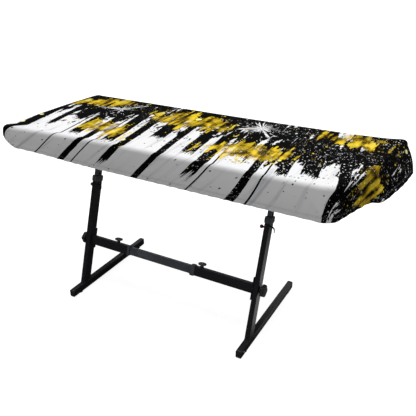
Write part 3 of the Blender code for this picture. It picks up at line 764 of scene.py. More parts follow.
# Shared node groups: what builds each, its inputs with their values, and its outputs
Group = namedtuple("Group", "build inputs outputs")
PLACE = {"Vector": (VECTOR, None)}
MASK = {"Mask": FLOAT}
GROUPS = {
    "Fine grain": Group(
        grain_effect, {**PLACE, "Scale": (FLOAT, 900.0)}, {"Height": FLOAT, "Variation": FLOAT},
    ),
    "Scuffs": Group(scuff_effect, {**PLACE, "Amount": (FLOAT, 0.3)}, MASK),
    "Dust": Group(dust_effect, {**PLACE, "Amount": (FLOAT, 0.2)}, MASK),
    "Spots": Group(spots_effect, {
        **PLACE, "Cells per metre": (FLOAT, 50.0), "Share of cells": (FLOAT, 0.4),
        "Largest radius": (FLOAT, 0.3), "Softness": (FLOAT, 0.05),
    }, MASK),
    "Wash": Group(wash_effect, {
        **PLACE, "Middle": (VECTOR, None), "Turn": (VECTOR, None), "Reach": (VECTOR, (1.0, 1.0, 1.0)),
    }, {"Near": FLOAT}),
    "Splash": Group(
        splash_effect, {**PLACE, "Middle": (VECTOR, None), "Reach": (FLOAT, 0.1)}, MASK,
    ),
    "Beads along a path": Group(beads_shape, {
        "Path": (GEOMETRY, None), "Pitch": (FLOAT, 0.004), "Length": (FLOAT, 0.003),
        "Width": (FLOAT, 0.001), "Unevenness": (FLOAT, 0.1), "Finish": (MATERIAL, None),
    }, {"Beads": GEOMETRY}),
    # Holes: discs of near-black painted shade, each with a steel rim
    "Rows of holes": Group(holes_shape, {
        "Starts": (GEOMETRY, None), "Count": ("NodeSocketInt", 3), "Step": (VECTOR, None),
        "Radius": (FLOAT, 0.0036), "Rim": (FLOAT, 0.0005), "Rim finish": (MATERIAL, None),
        "Painted hole shade": (MATERIAL, None),
    }, {"Holes": GEOMETRY}),
}


def node_group(name):
    """A shared node group, built the first time that it is asked for."""
    if name in bpy.data.node_groups:
        return bpy.data.node_groups[name]
    row = GROUPS[name]
    makes_shapes = GEOMETRY in row.outputs.values()
    tree = bpy.data.node_groups.new(name, "GeometryNodeTree" if makes_shapes else "ShaderNodeTree")
    if makes_shapes:
        tree.is_modifier = True
    for socket, (kind, default) in row.inputs.items():
        made = tree.interface.new_socket(socket, in_out="INPUT", socket_type=kind)
        if default is not None:
            made.default_value = default
    for socket, kind in row.outputs.items():
        tree.interface.new_socket(socket, in_out="OUTPUT", socket_type=kind)
    given = tree.nodes.new("NodeGroupInput").outputs
    result = tree.nodes.new("NodeGroupOutput").inputs
    values = row.build(Web(tree), given)
    for index, value in enumerate(values if isinstance(values, tuple) else (values,)):
        tree.links.new(value, result[index])
    return tree


def new_material(name):
    """A material, the web of its tree and its Principled shader."""
    made = bpy.data.materials.new(name)
    made.use_nodes = True
    return made, Web(made.node_tree), made.node_tree.nodes["Principled BSDF"]


def set_shader(web, shader, inputs):
    """Links outputs to a shader's sockets, or sets their values."""
    for name, value in inputs.items():
        if isinstance(value, bpy.types.NodeSocket):
            web.tree.links.new(value, shader.inputs[name])
        else:
            shader.inputs[name].default_value = value


def finish(name):
    """The material of a plain finish, built once."""
    if name in bpy.data.materials:
        return bpy.data.materials[name]
    row = FINISHES[name]
    made, web, shader = new_material(name)
    place = web.add("ShaderNodeTexCoord", out="Object")
    height = web.group("Fine grain", {"Vector": place, "Scale": row.grain})
    variation = height.node.outputs["Variation"]
    scuffs = web.group("Scuffs", {"Vector": place, "Amount": row.scuffs})
    dust = web.group("Dust", {"Vector": place, "Amount": row.dust})
    lighter = tuple(channel * LIGHTER for channel in row.colour)
    colour = web.mix(variation, (*row.colour, 1), (*lighter, 1))
    colour = web.mix(scuffs, colour, (*row.worn, 1))
    colour = web.mix(dust, colour, (*row.dusty, 1))
    rough = web.span(variation, row.roughness - row.spread, row.roughness + row.spread)
    set_shader(web, shader, {
        "Base Color": colour,
        "Roughness": web.plus(rough, web.times(dust, DUST_ROUGHENS), clamp=True),
        "Normal": web.bump(height, strength=0.6, distance=row.depth), "Metallic": row.metallic,
        "Specular IOR Level": row.gloss, "Coat Weight": row.coat,
    })
    return made


def link_object(name, data):
    """An object of the scene that holds some data."""
    made = bpy.data.objects.new(name, data)
    bpy.context.scene.collection.objects.link(made)
    return made


def hand_over(made, slot, *nodes):
    """Says what a finished piece rides on, takes its finish from and replaces."""
    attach(made, BODY)
    if nodes:
        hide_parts(*nodes)


def paint(node, material):
    """Gives a node of the frame a better material."""
    for holder in frame["nodes"][node].material_slots:
        holder.material = material


def plain_mesh(name, points, edges=(), faces=()):
    """A mesh from points that may be vectors or rows of numbers."""
    data = bpy.data.meshes.new(name)
    data.from_pydata([tuple(point) for point in points], edges, faces)
    return data


def path_mesh(name, loops):
    """A mesh of closed chains of edges, from lists of points."""
    edges = []
    start = 0
    for loop in loops:
        count = len(loop)
        edges += [(start + k, start + (k + 1) % count) for k in range(count)]
        start += count
    return plain_mesh(name, [point for loop in loops for point in loop], edges)


def made_by_nodes(name, group, start_mesh, values):
    """Runs a Geometry Nodes tree on a mesh, and returns the result as a plain mesh object."""
    tree = node_group(group)
    worker = link_object(f"{name}_worker", start_mesh)
    modifier = worker.modifiers.new(tree.name, "NODES")
    modifier.node_group = tree
    for item in tree.interface.items_tree:
        if item.in_out == "INPUT" and item.name in values:
            modifier[item.identifier] = values[item.name]
    graph = bpy.context.evaluated_depsgraph_get()
    data = bpy.data.meshes.new_from_object(worker.evaluated_get(graph))
    data.name = name
    bpy.data.objects.remove(worker)
    return link_object(name, data)


def outline():
    """The cover's outline as rows of fold_x, fold_y, hem_x, hem_y, hem_z and bulge.

    Each station is rounded by a quadratic curve over its reach, with a straight stretch to the
    next one. Also returns the rows where the corners of the top's grid are.
    """
    stations = list(STATIONS.values())
    values = np.array([station[:6] for station in stations])
    rows, corners = [], []
    along = np.linspace(0.0, 1.0, OUTLINE_SAMPLES, endpoint=False)[:, None]
    for index, station in enumerate(stations):
        here = values[index]
        before = values[index - 1]
        after = values[(index + 1) % len(stations)]
        beyond = stations[(index + 1) % len(stations)].reach
        gone = after - here
        length_in = np.hypot(*(before - here)[:2])
        length_out = np.hypot(*gone[:2])
        start = here + (before - here) * station.reach / length_in
        end = here + gone * station.reach / length_out
        next_start = after - gone * beyond / length_out
        if station.is_corner:
            corners.append(len(rows) + OUTLINE_SAMPLES // 2)
        rows.extend((1 - along) ** 2 * start + 2 * along * (1 - along) * here + along**2 * end)
        rows.extend(end + (next_start - end) * along)
    return np.array(rows), corners


def outward(points):
    """Unit normals of a closed anticlockwise outline, pointing out of it."""
    travel = np.roll(points, -1, axis=0) - np.roll(points, 1, axis=0)
    normal = np.stack([travel[:, 1], -travel[:, 0]], axis=1)
    return normal / np.linalg.norm(normal, axis=1)[:, None]


def spaced_outline():
    """The outline sampled with the grid's cells on each side between its corners.

    Where the outline turns, the samples are closer together.
    """
    rows, corners = outline()
    rows = np.roll(rows, -corners[0], axis=0)
    stops = [corner - corners[0] for corner in corners] + [len(rows)]
    rows = np.vstack([rows, rows[:1]])
    travel = np.diff(rows[:, :2], axis=0)
    heading = np.unwrap(np.arctan2(travel[:, 1], travel[:, 0]))
    turn = np.abs(np.diff(heading, append=heading[-1]))
    weight = np.concatenate([[0.0], np.cumsum(np.hypot(*travel.T) + CORNER_WEIGHT * turn)])
    counts = (CELLS_ACROSS, CELLS_ALONG, CELLS_ACROSS, CELLS_ALONG)
    places = []
    for first, last, count in zip(stops[:-1], stops[1:], counts, strict=True):
        places.extend(np.linspace(weight[first], weight[last], count, endpoint=False))
    return np.stack([np.interp(places, weight, column) for column in rows.T], axis=1)


# One ring of the cloth's outer side: its points, the way it faces, and its place in the flat cloth
Ring = namedtuple("Ring", "points normals flat")


def skirt_rings(cloth):
    """Rings from the edge of the flat top, over the bend and down to the turned-under hem."""
    ring = spaced_outline()
    fold, hem, hem_z, bulge = ring[:, :2], ring[:, 2:4], ring[:, 4:5], ring[:, 5:6]
    out = outward(fold)
    up = np.array([[0.0, 0.0, 1.0]])
    flat_out = np.hstack([out, np.zeros_like(hem_z)])
    level = np.full_like(hem_z, COVER_TOP)
    radius = cloth.fold_radius
    places = [np.hstack([fold - radius * out, level])]
    normals = [np.repeat(up, len(ring), axis=0)]
    for angle in np.linspace(0, math.pi / 2, BEND_STEPS + 1)[1:]:
        inset = radius * (1 - math.sin(angle))
        drop = radius * (1 - math.cos(angle))
        places.append(np.hstack([fold - inset * out, level - drop]))
        normals.append(flat_out * math.sin(angle) + up * math.cos(angle))
    skirt_top = COVER_TOP - radius
    for share in np.linspace(0, 1, SKIRT_RINGS + 1)[1:]:
        place = fold + (hem - fold) * share + out * bulge * math.sin(math.pi * share)
        places.append(np.hstack([place, skirt_top + (hem_z - skirt_top) * share]))
        normals.append(flat_out)
    inward = outward(hem)
    for angle in np.linspace(0, math.pi / 2, LIP_STEPS + 1)[1:]:
        place = hem - cloth.hem_lip * (1 - math.cos(angle)) * inward
        drop = HEM_LIP_DROP * math.sin(angle)
        places.append(np.hstack([place, hem_z - drop]))
        normals.append(flat_out * math.cos(angle) - up * math.sin(angle))
    rings = [Ring(places[0], normals[0], places[0][:, :2])]
    for place, normal in zip(places[1:], normals[1:], strict=True):
        gone = np.linalg.norm(place - rings[-1].points, axis=1)[:, None]
        rings.append(Ring(place, normal, rings[-1].flat + out * gone))
    return rings


def filled_top(ring):
    """A grid of points that fills the first ring: blended from its four sides (a Coons patch), and
    then relaxed until each inner point is the mean of its neighbours, so that no cell folds over.
    """
    across, along = CELLS_ACROSS, CELLS_ALONG
    closed = np.vstack([ring, ring[:1]])
    left = closed[: across + 1][::-1]
    front = closed[across : across + along + 1]
    right = closed[across + along : 2 * across + along + 1]
    back = closed[2 * across + along :][::-1]
    u = np.linspace(0, 1, along + 1)[:, None, None]
    v = np.linspace(0, 1, across + 1)[None, :, None]
    sides = (1 - v) * front[:, None] + v * back[:, None] + (1 - u) * left[None] + u * right[None]
    corners = (1 - u) * ((1 - v) * front[0] + v * back[0]) + u * ((1 - v) * front[-1] + v * back[-1])
    grid = sides - corners
    for _ in range(RELAXING_STEPS):
        neighbours = grid[:-2, 1:-1] + grid[2:, 1:-1] + grid[1:-1, :-2] + grid[1:-1, 2:]
        grid[1:-1, 1:-1] = neighbours / 4
    return grid


def crease_height(flat):
    """How far the creases and dips lift or lower each point of the flattened cloth.

    A crease widens and fades on its way from its start to its end.
    """
    height = np.zeros(len(flat))
    for crease in CREASES.values():
        start = np.array(crease[:2])
        run = np.array(crease[2:4]) - start
        share = np.clip((flat - start) @ run / (run @ run), 0.0, 1.0)
        apart = np.linalg.norm(flat - start - share[:, None] * run, axis=1)
        wide = crease.half_width * (CREASE_START_WIDTH + CREASE_WIDENING * share)
        height += crease.rise * (1 - share) ** CREASE_FADE * np.exp(-((apart / wide) ** 2))
    for dip in DIPS.values():
        far = ((flat[:, 0] - dip.x) / dip.radius_x) ** 2 + ((flat[:, 1] - dip.y) / dip.radius_y) ** 2
        height -= dip.depth * np.exp(-far)
    return height


def run_of(points):
    """Metres along a closed chain of points, from its first point round to it again."""
    steps = np.linalg.norm(np.roll(points, -1, axis=0) - points, axis=1)
    return np.concatenate([[0.0], np.cumsum(steps)])


def hem_gathers(cloth, rings):
    """How far the soft gathers along the hem move each point of the rings, out or in.

    Slow waves make the gathers uneven in pitch and depth, and they fade out up the skirt.
    """
    run = run_of(rings[-1].points)
    count = round(run[-1] / cloth.gather_pitch)
    phase = 2 * math.pi * count * run[:-1] / run[-1]
    round_way = run[:-1] / run[-1] * 2 * math.pi
    wander = sum(size * np.sin(waves * round_way + start) for size, waves, start in GATHER_WANDER)
    beat = np.sin(5 * round_way + 1.0) * np.sin(11 * round_way)
    unevenness = GATHER_MEAN + GATHER_SPREAD * beat
    wave = np.sin(phase + wander) * unevenness
    first = len(rings) - 1 - LIP_STEPS - SKIRT_RINGS
    moves = []
    for index in range(len(rings)):
        share = min(max((index - first) / SKIRT_RINGS, 0.0), 1.0)
        moves.append(cloth.gather_depth * share**GATHER_FADE * wave)
    return moves


def creased_rings(cloth):
    """The rings with their creases and gathers."""
    rings = skirt_rings(cloth)
    moved = []
    for ring, gathers in zip(rings, hem_gathers(cloth, rings), strict=True):
        shift = crease_height(ring.flat) + gathers
        moved.append(ring._replace(points=ring.points + shift[:, None] * ring.normals))
    return moved


def cover_mesh(cloth):
    """The cover's outer side as a mesh, with one UV map of the flat cloth and one of the hem."""
    rings = creased_rings(cloth)
    top_flat = filled_top(np.hstack([rings[0].flat, np.zeros((len(rings[0].flat), 1))]))[..., :2]
    flat = top_flat.reshape(-1, 2)
    height = COVER_TOP + crease_height(flat)
    points = [np.hstack([flat, height[:, None]])]
    flats = [flat]
    columns = CELLS_ACROSS + 1
    number = np.arange(len(flat)).reshape(CELLS_ALONG + 1, columns)
    corners = (number[:-1, :-1], number[1:, :-1], number[1:, 1:], number[:-1, 1:])
    faces = [np.stack(corners, axis=-1).reshape(-1, 4)]
    # The grid's edge, going round anticlockwise from its back left corner
    above = np.concatenate([number[0, :0:-1], number[:-1, 0], number[-1, :-1], number[:0:-1, -1]])
    run = run_of(rings[-1].points)
    depth = np.linalg.norm(rings[-1].flat - rings[0].flat, axis=1)
    # The hem's map holds metres along the hem and up from it. The top counts as far up.
    hem_maps = [np.tile((0.0, 1.0), (len(faces[0]) * 4, 1))]
    start = len(flat)
    for upper, ring in zip(rings[:-1], rings[1:], strict=True):
        below = start + np.arange(len(ring.points))
        start += len(below)
        points.append(ring.points)
        flats.append(ring.flat)
        following = np.roll(above, -1), np.roll(below, -1)
        faces.append(np.stack([above, below, following[1], following[0]], axis=-1))
        to_hem = [depth - np.linalg.norm(r.flat - rings[0].flat, axis=1) for r in (upper, ring)]
        ends = run[:-1], run[1:]
        loops = [
            np.stack([ends[0], to_hem[0]], axis=-1), np.stack([ends[0], to_hem[1]], axis=-1),
            np.stack([ends[1], np.roll(to_hem[1], -1)], axis=-1),
            np.stack([ends[1], np.roll(to_hem[0], -1)], axis=-1),
        ]
        hem_maps.append(np.stack(loops, axis=1).reshape(-1, 2))
        above = below
    places = np.vstack(points) + np.array(PLAN_ZERO)
    faces = np.vstack(faces)
    data = bpy.data.meshes.new("cover_cloth")
    data.from_pydata(places.tolist(), [], faces.tolist())
    flat_map = data.uv_layers.new(name="flat_cloth")
    flat_map.data.foreach_set("uv", np.vstack(flats)[faces.reshape(-1)].reshape(-1))
    hem_map = data.uv_layers.new(name="hem_run")
    hem_map.data.foreach_set("uv", np.vstack(hem_maps).reshape(-1))
    data.polygons.foreach_set("use_smooth", [True] * len(data.polygons))
    data.validate()
    return data


# One stripe across the print, and the stretch of it from front to back that is inked
Stripe = namedtuple("Stripe", "start end front back")


def striped(web, across, along, stripes):
    """A mask of stripes, by one colour ramp for as many as it has room for.

    The ramp's red and green hold where a stripe is inked from and to, half a metre up.
    """
    low, high = stripes[0].start - STRIPES_MARGIN, stripes[-1].end + STRIPES_MARGIN
    share = web.number("DIVIDE", web.minus(across, low), high - low, clamp=True)
    masks = []
    for first in range(0, len(stripes), RAMP_STRIPES):
        stops = [(0.0, NO_STRIPE)]
        for stripe in stripes[first : first + RAMP_STRIPES]:
            inked = (stripe.front + 0.5, stripe.back + 0.5, 0.0)
            stops.append(((stripe.start - low) / (high - low), inked))
            stops.append(((stripe.end - low) / (high - low), NO_STRIPE))
        ends = web.ramp(share, stops, "CONSTANT")
        after = web.step(web.minus(along, web.channel(ends, "Red")), 0.0, END_SOFTNESS)
        before = web.step(web.minus(web.channel(ends, "Green"), along), 0.0, END_SOFTNESS)
        masks.append(web.times(after, before))
    return web.most(*masks)


def stroke_masks(web, flat, turn):
    """Masks of the black strokes and of the thin lines between them, with brushed edges and ends."""
    strokes, lines = [], []
    edge = FIRST_STROKE
    for stroke in STROKES:
        start = edge + stroke.gap
        if stroke.line:
            line = edge + stroke.gap * stroke.line
            lines.append(Stripe(line, line + LINE_WIDTH, -0.5, 0.5))
        edge = start + stroke.width
        strokes.append(Stripe(start, edge, stroke.front, stroke.back))
    heading = (math.cos(turn), math.sin(turn), 0.0)
    across = web.vector("DOT_PRODUCT", flat, heading, out="Value")
    wander = web.centred(web.noise(flat, 3.2, detail=1.0), STROKE_WANDER)
    across = web.plus(across, wander)
    along = web.plus(web.part(flat, "Y"), 0.5)
    hairs = web.streaks(flat, fine=240.0, coarse=7.0, turn=-turn)
    brushed = web.plus(across, web.centred(hairs, HAIRS_ACROSS))
    pulled = web.plus(along, web.centred(hairs, HAIRS_ALONG))
    return striped(web, brushed, pulled, strokes), striped(web, across, along, lines)


def spots(web, place, row):
    """A mask of scattered spots."""
    return web.group("Spots", {
        "Vector": place, "Cells per metre": row.cells, "Share of cells": row.share,
        "Largest radius": row.radius, "Softness": row.softness,
    })


def washes_masks(web, flat, washes, streaks, spread, softness):
    """Masks of washes with torn edges, drawn out by the streaks, and of the spatter round them."""
    near = []
    for wash in washes.values():
        near.append(web.group("Wash", {
            "Vector": flat, "Middle": (wash.x, wash.y, 0.0), "Turn": (0.0, 0.0, wash.turn),
            "Reach": (wash.reach_x, wash.reach_y, 1.0),
        }))
    ragged = web.noise(flat, 9.0, detail=6.0, roughness=0.62, distortion=0.6)
    torn = web.centred(ragged, WASH_TEAR)
    total = web.plus(web.plus(web.most(*near), torn), web.centred(streaks, spread))
    moved = web.stretch(flat, place=(0.37, 0.11 + spread, 0.0))
    spatter = web.times(spots(web, moved, SPATTER), web.step(total, -0.75, -0.35))
    return web.step(total, 0.0, softness), spatter


def splashes_mask(web, flat):
    """A mask of all the splashes."""
    masks = []
    for splash in SPLASHES.values():
        sockets = {"Vector": flat, "Middle": (splash.x, splash.y, 0.0), "Reach": splash.reach}
        masks.append(web.group("Splash", sockets))
    return web.most(*masks)


def print_place(web, plain, cloth):
    """Place in the print: that on the flattened cloth, leaning to the left down the front skirt."""
    along, across = web.part(plain, "X"), web.part(plain, "Y")
    down = web.most(web.minus(FRONT_BEND_Y, across), 0.0)
    slant = web.span(web.step(along, *SLANT_LESSENS), cloth.left_slant, cloth.right_slant)
    along = web.plus(along, web.times(down, slant))
    return web.add("ShaderNodeCombineXYZ", {0: along, 1: across})


def golden_washes(web, flat, cloth):
    """A mask of the golden washes, and their colour from bronze in the streaks to pale yellow."""
    sweeps = web.streaks(
        flat, fine=40.0, coarse=6.0, turn=0.85, detail=5.0, roughness=0.62, place=(0.3, 0.2, 0.0),
    )
    gold, spatter = washes_masks(web, flat, GOLD_WASHES, sweeps, spread=3.4, softness=0.12)
    gold = web.times(gold, web.step(sweeps, 0.36, 0.42))
    thin = web.span(web.step(web.noise(flat, 12.0, detail=4.0), 0.34, 0.62), 0.45, 1.0)
    mottle = web.centred(web.noise(flat, 17.0, detail=5.0, roughness=0.62), GOLD_MOTTLE)
    tones = [
        (0.38, tuple(channel * 0.3 for channel in cloth.bronze)), (0.45, cloth.bronze),
        (0.53, cloth.deep_gold), (0.61, cloth.gold), (0.72, cloth.gold), (0.79, cloth.pale),
    ]
    return web.most(web.times(gold, thin), spatter), web.ramp(web.plus(sweeps, mottle), tones)


def knit_bump(web, place, pitch, strength, depth, detail=2.0):
    """Relief of the knit's columns."""
    sockets = {"Vector": place, "Scale": 1 / pitch / WAVE_SCALE, "Distortion": 0.6, "Detail": detail}
    return web.bump(web.add("ShaderNodeTexWave", sockets, out="Fac"), strength, depth)


def fine_gathers(web, flat, pitch):
    """Height of the fine gathers along the hem, which fade out up the skirt."""
    hem = web.add("ShaderNodeUVMap", uv_map="hem_run")
    phase = web.times(web.part(hem, "X"), 2 * math.pi / pitch)
    phase = web.plus(phase, web.times(web.noise(flat, 9.0, detail=2.0), FINE_GATHER_WANDER))
    near = web.minus(1.0, web.step(web.part(hem, "Y"), *FINE_GATHERS_FADE))
    return web.times(web.number("SINE", phase), near)


def printed_cloth(cloth):
    """Stretch knit printed with black bands, golden and black washes, splashes, dots and flecks."""
    made, web, shader = new_material("cover_cloth")
    plain = web.add("ShaderNodeUVMap", uv_map="flat_cloth")
    flat = print_place(web, plain, cloth)
    inks = (cloth.black, cloth.white, cloth.silver, cloth.pale)
    black, white, silver, pale = ((*ink, 1) for ink in inks)
    bands, lines = stroke_masks(web, flat, cloth.design_turn)
    # Silver shading in the white, drawn out along the bands
    turn = -cloth.design_turn
    shading = web.streaks(flat, fine=30.0, coarse=2.6, turn=turn, detail=5.0, roughness=0.6)
    colour = web.mix(web.step(shading, 0.50, 0.86), white, silver)
    # Ink washes, with scratches left bare
    brush = web.streaks(flat, fine=52.0, coarse=8.0, turn=-0.62, detail=5.0, roughness=0.6)
    ink, spatter = washes_masks(web, flat, INK_WASHES, brush, spread=3.0, softness=0.05)
    ink = web.most(web.times(ink, web.step(brush, 0.24, 0.30)), spatter)
    dark = web.most(bands, ink)
    for mask in (lines, bands, ink):
        colour = web.mix(mask, colour, black)
    gold, shades = golden_washes(web, flat, cloth)
    colour = web.mix(gold, colour, shades)
    colour = web.mix(splashes_mask(web, flat), colour, white)
    # Pale dots, white flecks on the dark, more of them to the right, and dark specks on the light
    colour = web.mix(web.times(spots(web, flat, DOTS), dark), colour, pale)
    crowd = web.plus(web.noise(flat, 3.4), web.times(web.part(flat, "X"), CROWD_RIGHTWARDS))
    crowd = web.step(crowd, *CROWD_FILLS)
    for row in FLECKS:
        flecks = web.times(spots(web, flat, row), crowd)
        colour = web.mix(web.times(flecks, dark), colour, white)
    specks = spots(web, web.stretch(flat, place=(0.21, 0.43, 0.0)), SPECKS)
    colour = web.mix(web.times(specks, web.minus(1.0, dark)), colour, black)
    knit = knit_bump(web, plain, cloth.knit_pitch, strength=0.35, depth=KNIT_DEPTH, detail=1.0)
    gathers = fine_gathers(web, flat, cloth.fine_pitch)
    set_shader(web, shader, {
        "Base Color": colour, "Roughness": web.span(web.noise(flat, 240.0), 0.62, 0.78),
        "Normal": web.bump(gathers, strength=0.55, distance=FINE_GATHER_DEPTH, normal=knit),
        "Sheen Weight": 0.008, "Sheen Roughness": 0.4, "Specular IOR Level": 0.015,
    })
    return made


def unprinted_cloth(cloth):
    """The inner side of the knit: bare, with the print showing through faintly."""
    made, web, shader = new_material("cover_inside")
    flat = web.add("ShaderNodeUVMap", uv_map="flat_cloth")
    shade = web.step(web.streaks(flat, fine=14.0, coarse=1.6), 0.40, 0.65)
    faint = (*(channel * SHOW_THROUGH for channel in cloth.white), 1)
    set_shader(web, shader, {
        "Base Color": web.mix(shade, (*cloth.white, 1), faint),
        "Roughness": web.span(shade, 0.72, 0.85),
        "Normal": knit_bump(web, flat, cloth.knit_pitch, strength=0.4, depth=INNER_KNIT_DEPTH),
    })
    return made


class DUSTCOVER_OT_cloth(bpy.types.Operator):
    """Makes the cover and the stitches of its hem"""

    bl_idname = "dust_cover.cloth"
    bl_label = "Cover and hem stitches"

    def execute(self, context):
        cloth = settings_of("dust_cover_cloth")
        made = link_object("cover_cloth_sheet", cover_mesh(cloth))
        made.data.materials.append(printed_cloth(cloth))
        made.data.materials.append(unprinted_cloth(cloth))
        wall = made.modifiers.new("cloth thickness", "SOLIDIFY")
        wall.thickness = cloth.thickness
        wall.offset = -1.0
        wall.material_offset = 1
        hand_over(made, "cover_cloth", "cover")
        stitches = self.stitches(cloth)
        uv = np.zeros(len(made.data.loops) * 2)
        made.data.uv_layers["flat_cloth"].data.foreach_get("uv", uv)
        return {"FINISHED"}

    def stitches(self, cloth):
        """Two rows of stitches on the hem's outer side."""
        sewing = settings_of("dust_cover_stitches")
        rings = creased_rings(cloth)
        first = len(rings) - 1 - LIP_STEPS - SKIRT_RINGS
        proud = sewing.thickness / 4
        loops = []
        for share in STITCH_ROWS:
            ring = rings[first + round(share * SKIRT_RINGS)]
            loops.append(ring.points + proud * ring.normals + np.array(PLAN_ZERO))
        values = {
            "Pitch": sewing.pitch, "Length": sewing.length, "Width": sewing.thickness,
            "Unevenness": 0.06, "Finish": finish("sewing_thread"),
        }
        made = made_by_nodes("hem_stitches", "Beads along a path", path_mesh("hem_rows", loops), values)
        hand_over(made, "cover_cloth")
        return made


class DUSTCOVER_OT_steelwork(bpy.types.Operator):
    """Finishes the stand's steel, its rubber and the keyboard body"""

    bl_idname = "dust_cover.steelwork"
    bl_label = "Steel, rubber and keyboard body"

    def execute(self, context):
        for row in frame["record"]["subparts"]:
            if row["material_slot"] in FINISHES:
                paint(row["node"], finish(row["material_slot"]))
        for node in ("bar_inner", "column_inner_left", "column_inner_right"):
            paint(node, finish("inner_steel"))
        return {"FINISHED"}


def rounded_rectangle(width, depth, radius, steps=5):
    """Points of a rectangle with round corners, anticlockwise."""
    points = []
    corners = ((1, 1), (-1, 1), (-1, -1), (1, -1))
    for turn, (right, back) in enumerate(corners):
        for step in range(steps + 1):
            angle = (turn + step / steps) * math.pi / 2
            x = right * (width / 2 - radius) + radius * math.cos(angle)
            y = back * (depth / 2 - radius) + radius * math.sin(angle)
            points.append((x, y))
    return points


def round_ring(radius, steps, lobes=0, lobe_depth=0.0):
    """Points of a circle, or of one with soft lobes, anticlockwise. Each lobe adds its depth."""
    points = []
    for step in range(steps):
        angle = 2 * math.pi * step / steps
        reach = radius + lobe_depth * math.cos(lobes * angle)
        points.append((reach * math.cos(angle), reach * math.sin(angle)))
    return points


def hexagon(radius, steps):
    """Points round a hexagon, anticlockwise."""
    points = []
    for step in range(steps):
        angle = 2 * math.pi * step / steps
        off_flat = (angle + math.pi / 6) % (math.pi / 3) - math.pi / 6
        reach = radius * math.cos(math.pi / 6) / math.cos(off_flat)
        points.append((reach * math.cos(angle), reach * math.sin(angle)))
    return points


def ringed(name, rings, material, sharp):
    """A closed piece through rings with the same number of points, capped at both ends."""
    count = len(rings[0])
    faces = [tuple(range(count - 1, -1, -1))]
    for low in range(0, (len(rings) - 1) * count, count):
        for k in range(count):
            following = (k + 1) % count
            faces.append((low + k, low + following, low + count + following, low + count + k))
    last = (len(rings) - 1) * count
    faces.append(tuple(range(last, last + count)))
    data = plain_mesh(name, [point for ring in rings for point in ring], (), faces)
    data.materials.append(material)
    data.shade_smooth()
    data.set_sharp_from_angle(angle=math.radians(sharp))
    return link_object(name, data)


def dress(node, name, slot, levels, placing, sharp=SHARP_EDGE):
    """Puts a finer piece in the place of a node: levels are heights with the points of a ring."""
    rings = [[placing @ Vector((x, y, height)) for x, y in ring] for height, ring in levels]
    hand_over(ringed(name, rings, finish(slot), sharp), slot, node)


def toward_x(sign):
    """Turns a piece's height to face +X or -X."""
    return Matrix.Rotation(math.radians(90 * sign), 4, "Y")


def toward_y(sign):
    """Turns a piece's height to face +Y or -Y."""
    return Matrix.Rotation(math.radians(-90 * sign), 4, "X")


def leaning():
    """Turns a piece back as the columns lean, about its own middle."""
    return Matrix.Rotation(-math.atan(LEAN), 4, "X")


def middle(node):
    """The middle of a node's box."""
    low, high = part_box(node)
    return (low + high) / 2


def seat_of(node, axis, sign):
    """Where a node that faces one way is seated: the middle of the side that faces the other way."""
    seat = middle(node)
    seat[axis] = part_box(node)[0 if sign > 0 else 1][axis]
    return seat


def moulded_band(width, depth, length):
    """Levels of a band that bulges round a tube of that width and depth."""
    levels = []
    for row in COLLAR_LEVELS:
        ring = rounded_rectangle(width + 2 * row.proud, depth + 2 * row.proud, row.corner)
        levels.append(((row.share - 0.5) * length, ring))
    return levels


class DUSTCOVER_OT_collars(bpy.types.Operator):
    """Makes the moulded collars of the columns and the crossbar"""

    bl_idname = "dust_cover.collars"
    bl_label = "Collars"

    def execute(self, context):
        for side in SIDES:
            low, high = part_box(f"column_tube_{side}")
            levels = moulded_band(high.x - low.x, COLUMN_DEPTH * SQUARE, COLLAR_HEIGHT / SQUARE)
            node = f"column_collar_{side}"
            placing = Matrix.Translation(middle(node)) @ leaning()
            dress(node, f"column_band_{side}", "grey_plastic", levels, placing)
            node = f"bar_collar_{side}"
            low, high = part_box(node)
            levels = moulded_band(SLEEVE_HEIGHT / SQUARE, SLEEVE_DEPTH * SQUARE, high.x - low.x)
            placing = Matrix.Translation(middle(node)) @ leaning() @ toward_x(1)
            dress(node, f"bar_band_{side}", "grey_plastic", levels, placing)
        return {"FINISHED"}


def turned(rows, steps, lobes=0):
    """Levels of a turned piece."""
    return [(row.height, round_ring(row.radius, steps, lobes, row.ridge)) for row in rows]


class DUSTCOVER_OT_knobs(bpy.types.Operator):
    """Makes the round knobs on the crossbar and the lobed knobs at its ends"""

    bl_idname = "dust_cover.knobs"
    bl_label = "Knobs"

    def execute(self, context):
        for side, sign in SIDES.items():
            node = f"bar_knob_{side}"
            sleeve = middle(f"bar_sleeve_{side}")
            seat = sleeve + Vector((0, LEAN, 1)) * (SLEEVE_HEIGHT / 2 + SEAT_GAP)
            seat.x = middle(node).x
            levels = turned(BAR_KNOB_LEVELS, BAR_KNOB_SIDES, BAR_KNOB_RIDGES)
            placing = Matrix.Translation(seat) @ leaning()
            dress(node, f"round_knob_{side}", "grey_plastic", levels, placing)
            node = f"end_knob_{side}"
            seat = Vector((seat_of(node, 0, sign).x, sleeve.y, sleeve.z))
            levels = turned(END_KNOB_LEVELS, END_KNOB_SIDES, END_KNOB_LOBES)
            placing = Matrix.Translation(seat) @ toward_x(sign)
            dress(node, f"lobed_knob_{side}", "black_plastic", levels, placing)
        return {"FINISHED"}


def ball_levels(radius):
    """Levels of a ball that is slightly flattened where its stem enters."""
    levels = []
    for step in range(BALL_STEPS + 1):
        angle = math.pi * (BALL_START + BALL_SPAN * step / BALL_STEPS)
        ring = round_ring(radius * math.sin(angle), 2 * BALL_STEPS)
        levels.append((radius * (1 - math.cos(angle)), ring))
    return levels


